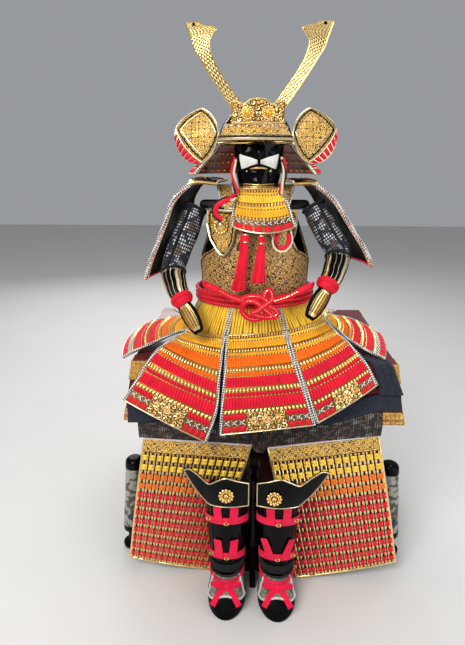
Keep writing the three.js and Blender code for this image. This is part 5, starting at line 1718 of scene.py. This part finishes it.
def make_knee(name, x, side, wing, f):
    rows = [[side * (r[0] * wing if r[0] > 0 else r[0]), *r[1:]] for r in KNEE]
    top = smooth([[x + r[0], r[1], r[2]] for r in rows])
    low = smooth([[x + r[0], r[1] + 3, r[3]] for r in rows])

    def at(u, v):
        u, v = both(u, v)
        point = mix(top(u), low(u), v[..., None])
        crown = 1.6 * np.sin(math.pi * v) * np.sin(math.pi * np.clip(u * 1.6, 0, 1))
        return point - crown[..., None] * np.array([0.0, 1.0, 0.0])

    knee = Surface(at, (x, 0, 130))
    shape = Shape()
    shape.shell(knee, steps(48), steps(12), 1.6, 0.0, 0)
    outline(shape, knee, (0, 1), (0, 1), 0.2, 60, 0.7, 1, 6)
    middle = np.array([x + (0.5 if side < 0 else -5.5), -175.4, 130.5 if side < 0 else 128.5])
    rosette(shape, middle, (0, -1, 0.1), UP, 7.4, 2, 12, 1.6, 4)
    shape.beads([middle + (0, -1.6, 0)], [(0, -1, 0.1)], 1.3, 3)
    finish = [f.black, f.white_gold, f.gold_bright, f.jewel, f.gold_dark]
    shape.make(f"knee_plate_lacquer_{name}", finish, (f"knee_plate_{name}",), weld=True)


def make_ribbons(name, x, side, f):
    shape = Shape()
    for level, low in ((96, 118), (54, 71)):
        phi = np.radians(np.linspace(-100, 100, 41))
        sag = level - 5.0 + 7.0 * np.cos(phi)
        line = shin_point(x, phi, sag, 0.7)
        normal = around((0, 0), 1.0, 1.0, phi, 0.0)
        ribbon(shape, line, 3.6, normal, 0, 0.7)
        for lean, start in ((-1, -6.8), (1, 6.4)):
            splay = 0.32 if side > 0 and level < 60 else 0.06
            z = np.linspace(level, low + 4, 12)
            px = start + lean * splay * (z - level)
            angle = np.arcsin(np.clip(px / 20, -1, 1))
            line = shin_point(x, angle, z, 1.3)
            ribbon(shape, line, 4.0, around((0, 0), 1.0, 1.0, angle, 0.0), 0, 0.8)
        for px in (-0.4, 15.5):
            angle = math.asin(px / 20)
            spot = shin_point(x, np.array(angle * side), np.array(float(level)), 1.9)
            turn = np.linspace(0, TAU, 13)
            ring = spot + np.stack([2.0 * np.cos(turn), -0.4 + 0 * turn, 1.6 * np.sin(turn)], -1)
            shape.tube(ring, 0.65, 1, 6, caps=False)
    band = np.radians(np.linspace(-130, 130, 41))
    for z in (35.5, 38.5, 41.5):
        shape.tube(shin_point(x, band, np.full(41, z), 0.6), 1.9, 2, 8)
    shape.make(f"shin_ribbons_{name}", [f.rose, f.gold_bright, f.binding])


def shoe_point(x, t, z, out=0.0):
    a = look_up(SHOE, "z", z, "a") + out
    b = look_up(SHOE, "z", z, "b") + out
    return points3(x + a * np.sin(t), look_up(SHOE, "z", z, "y") - b * np.cos(t), z)


def make_shoe(name, x, f):
    def at(u, v):
        return shoe_point(x, TAU * np.asarray(u, float), mix(32.0, 0.3, v))

    def cap_edge(u):
        return 0.66 - 0.26 * np.cos(TAU * np.asarray(u, float)) ** 3

    upper = Surface(at, (x, -158, 12))
    toe_cap = Surface(lambda u, v: at(u, mix(cap_edge(u), 1.0, v)), (x, -158, 12))
    shape = Shape()
    shape.shell(upper, steps(56), np.linspace(0, 0.95, 22), 1.4, 0.0, 0, ring=True)
    shape.shell(toe_cap, steps(56), steps(14), 1.4, 0.5, 1, ring=True)
    turn = TAU * steps(40)
    sole = np.stack([shoe_point(x, turn, np.full(41, 0.4)), np.broadcast_to([x, -160.5, 0.4], (41, 3))])
    shape.grids(sole[None], np.zeros((2, 41, 2)), 1)
    front = np.linspace(-0.2, 0.2, 30)
    shape.tube(upper.out(front, cap_edge(front), 0.7), 1.2, 2, 8)
    for lean in (-1, 1):
        u = lean * np.linspace(0.135, 0.2, 30)
        v = mix(0.03, cap_edge(u), np.linspace(0, 1, 30))
        shape.tube(upper.out(u, v, 0.7), 1.1, 2, 8)
    shape.tube(upper.out(steps(40), np.full(41, 0.0), 0.2), 1.1, 3, 8, caps=False)
    shape.make(f"shoe_brocade_{name}", [f.shoe, f.black_dull, f.piping, f.black_silk],
               (f"shoe_{name}",), weld=True)
    bow = Shape()
    ring_turn = np.linspace(-1.9, 1.9, 31)
    ribbon(bow, shoe_point(x, ring_turn, 30.5 - 2 * np.cos(ring_turn), 0.9), 2.6,
           around((0, 0), 1.0, 1.0, ring_turn, 0.0), 0, 0.8)
    knot = shoe_point(x, np.array(0.0), np.array(27.0), 2.2)
    bow.beads([knot], [(0, -1, 0.6)], 3.0, 0, 10, 4, 0.8)
    for lean in (-1, 1):
        tail = smooth([knot, knot + (lean * 6, -3.5, -5), knot + (lean * 10, -7.5, -10),
                       knot + (lean * 13, -9.5, -15)])(steps(16))
        ribbon(bow, tail, 2.8, (0, -0.72, 0.7), 0, 0.8)
        loop = smooth([knot, knot + (lean * 6, -2.0, 2.5), knot + (lean * 12, -0.6, 3.0),
                       knot + (lean * 13, 1.4, 0.5), knot + (lean * 7, 0.3, -0.6), knot])(steps(24))
        ribbon(bow, loop, 2.2, (0, -0.8, 0.6), 0, 0.7)
    bow.make(f"shoe_bow_{name}", [f.rose])


# Operators, panel and main

def colour_property(name, description, default):
    return bpy.props.FloatVectorProperty(
        name=name, description=description, default=default, min=0.0, max=1.0, size=3, subtype="COLOR")


class ArmourSizes(bpy.types.PropertyGroup):
    """What a user would change about the set."""

    head_pitch: bpy.props.FloatProperty(
        name="Scale head pitch", description="Distance from one gilt scale head to the next along a lame",
        default=0.0032, min=0.001, max=0.02, unit="LENGTH")
    lace_pitch: bpy.props.FloatProperty(
        name="Lace pitch", description="Distance from one hanging lace to the next",
        default=0.0025, min=0.001, max=0.02, unit="LENGTH")
    belt_cord: bpy.props.FloatProperty(
        name="Belt cord", description="Thickness of the cord in the knot and the belt's ends",
        default=0.0058, min=0.002, max=0.008, unit="LENGTH")
    thigh_knots: bpy.props.IntProperty(
        name="Thigh knots", description="Silk knots in one row of a thigh guard", default=14, min=4, max=30)
    red: colour_property(
        "Red silk", "Lower rows of lacing, belt, wrist ties and tassels", (0.72, 0.004, 0.028))
    rose: colour_property("Rose silk", "Ribbons on the shins and shoes", (0.78, 0.005, 0.060))
    orange: colour_property("Orange silk", "Middle rows of lacing", (0.93, 0.16, 0.003))
    amber: colour_property("Amber silk", "Second row of lacing", (0.95, 0.45, 0.02))
    yellow: colour_property(
        "Yellow silk", "First row of lacing, waist laces and throat guard", (0.98, 0.60, 0.05))
    gold: colour_property("Gilt", "Scale heads and raised fittings", (1.0, 0.73, 0.32))
    leather: colour_property("Printed leather", "Ground of the cuirass's leather", (0.74, 0.44, 0.13))
    chest_lacquer: colour_property("Chest lacquer", "Lid of the armour chest", (0.095, 0.007, 0.013))
    key_light: bpy.props.FloatProperty(
        name="Key light", description="Strength of the studio lamps", default=1.0, min=0.0, subtype="FACTOR")
    room_light: bpy.props.FloatProperty(
        name="Room light", description="Strength of the even light all round", default=0.36, min=0.0)
    exposure: bpy.props.FloatProperty(
        name="Exposure", description="Exposure of the picture, in stops", default=0.0)


FINISHES = {}


def finishes():
    if "all" not in FINISHES:
        FINISHES["all"] = Finishes(bpy.context.scene.armour_sizes)
    return FINISHES["all"]


def operator(name, label, about, build):
    """One operator class for a piece or a group of like pieces."""
    def execute(self, context):
        build(context.scene.armour_sizes)
        return {"FINISHED"}

    return type(f"ARMOUR_OT_{name}", (bpy.types.Operator,), {
        "bl_idname": f"armour.{name}", "bl_label": label, "__doc__": about, "execute": execute})


def dressed(build):
    return lambda sizes: build(finishes())


OPERATORS = [
    operator("stage", "Stage", "Floor, lights and camera", make_stage),
    operator("chest", "Chest", "Lacquered chest with engraved fittings", dressed(make_chest)),
    operator("stands", "Stands", "Armour stand and leg stand", dressed(make_stands)),
    operator("helmet", "Helmet", "Bowl, visor, ears and neck guard", dressed(make_helmet)),
    operator("crest", "Crest", "Openwork base and horns", dressed(make_crest)),
    operator("mask", "Mask", "Face mask, throat guard and chin cords", dressed(make_mask)),
    operator("cuirass", "Cuirass", "Printed leather shells, straps and chest plates", dressed(make_cuirass)),
    operator("belt", "Belt", "Three cords, knot and ends", dressed(make_belt)),
    operator("tassels", "Tassels", "Two silk tassels", dressed(make_tassels)),
    operator("waist", "Waist Lacing", "Long laces over the waist", dressed(make_waist)),
    operator("skirt", "Skirt", "Seven laced panels", dressed(make_skirt)),
    operator("guards", "Shoulder Guards", "Laced guards under cap plates", dressed(make_shoulder_guards)),
    operator("sleeves", "Sleeves", "Armoured sleeves, wrist ties and hand plates", dressed(make_sleeves)),
    operator("apron", "Apron", "Cotton tape, loop and dark cloth", dressed(make_apron)),
    operator("thighs", "Thigh Guards", "Two splinted panels with silk knots", dressed(make_thigh_guards)),
    operator("rolls", "Rolls", "Brocade rolls on turned posts", dressed(make_thigh_rolls)),
    operator("legs", "Legs", "Shin guards, knee plates, ribbons and shoes", dressed(make_legs)),
]


ORDER = [step.bl_idname.split(".")[1] for step in OPERATORS]


class ARMOUR_PT_panel(bpy.types.Panel):
    """Lists the suit's pieces in the order they are made."""

    bl_label = "Laced Armour"
    bl_space_type = "VIEW_3D"
    bl_region_type = "UI"
    bl_category = "Armour"

    def draw(self, context):
        for name in ArmourSizes.__annotations__:
            self.layout.prop(context.scene.armour_sizes, name)
        for step in OPERATORS:
            self.layout.operator(step.bl_idname)


CLASSES = [ArmourSizes, *OPERATORS, ARMOUR_PT_panel]


def register():
    for item in CLASSES:
        bpy.utils.register_class(item)
    bpy.types.Scene.armour_sizes = bpy.props.PointerProperty(type=ArmourSizes)


def unregister():
    del bpy.types.Scene.armour_sizes
    for item in reversed(CLASSES):
        bpy.utils.unregister_class(item)


def main():
    register()
    for name in ORDER:
        getattr(bpy.ops.armour, name)()


if __name__ == "__main__":
    main()
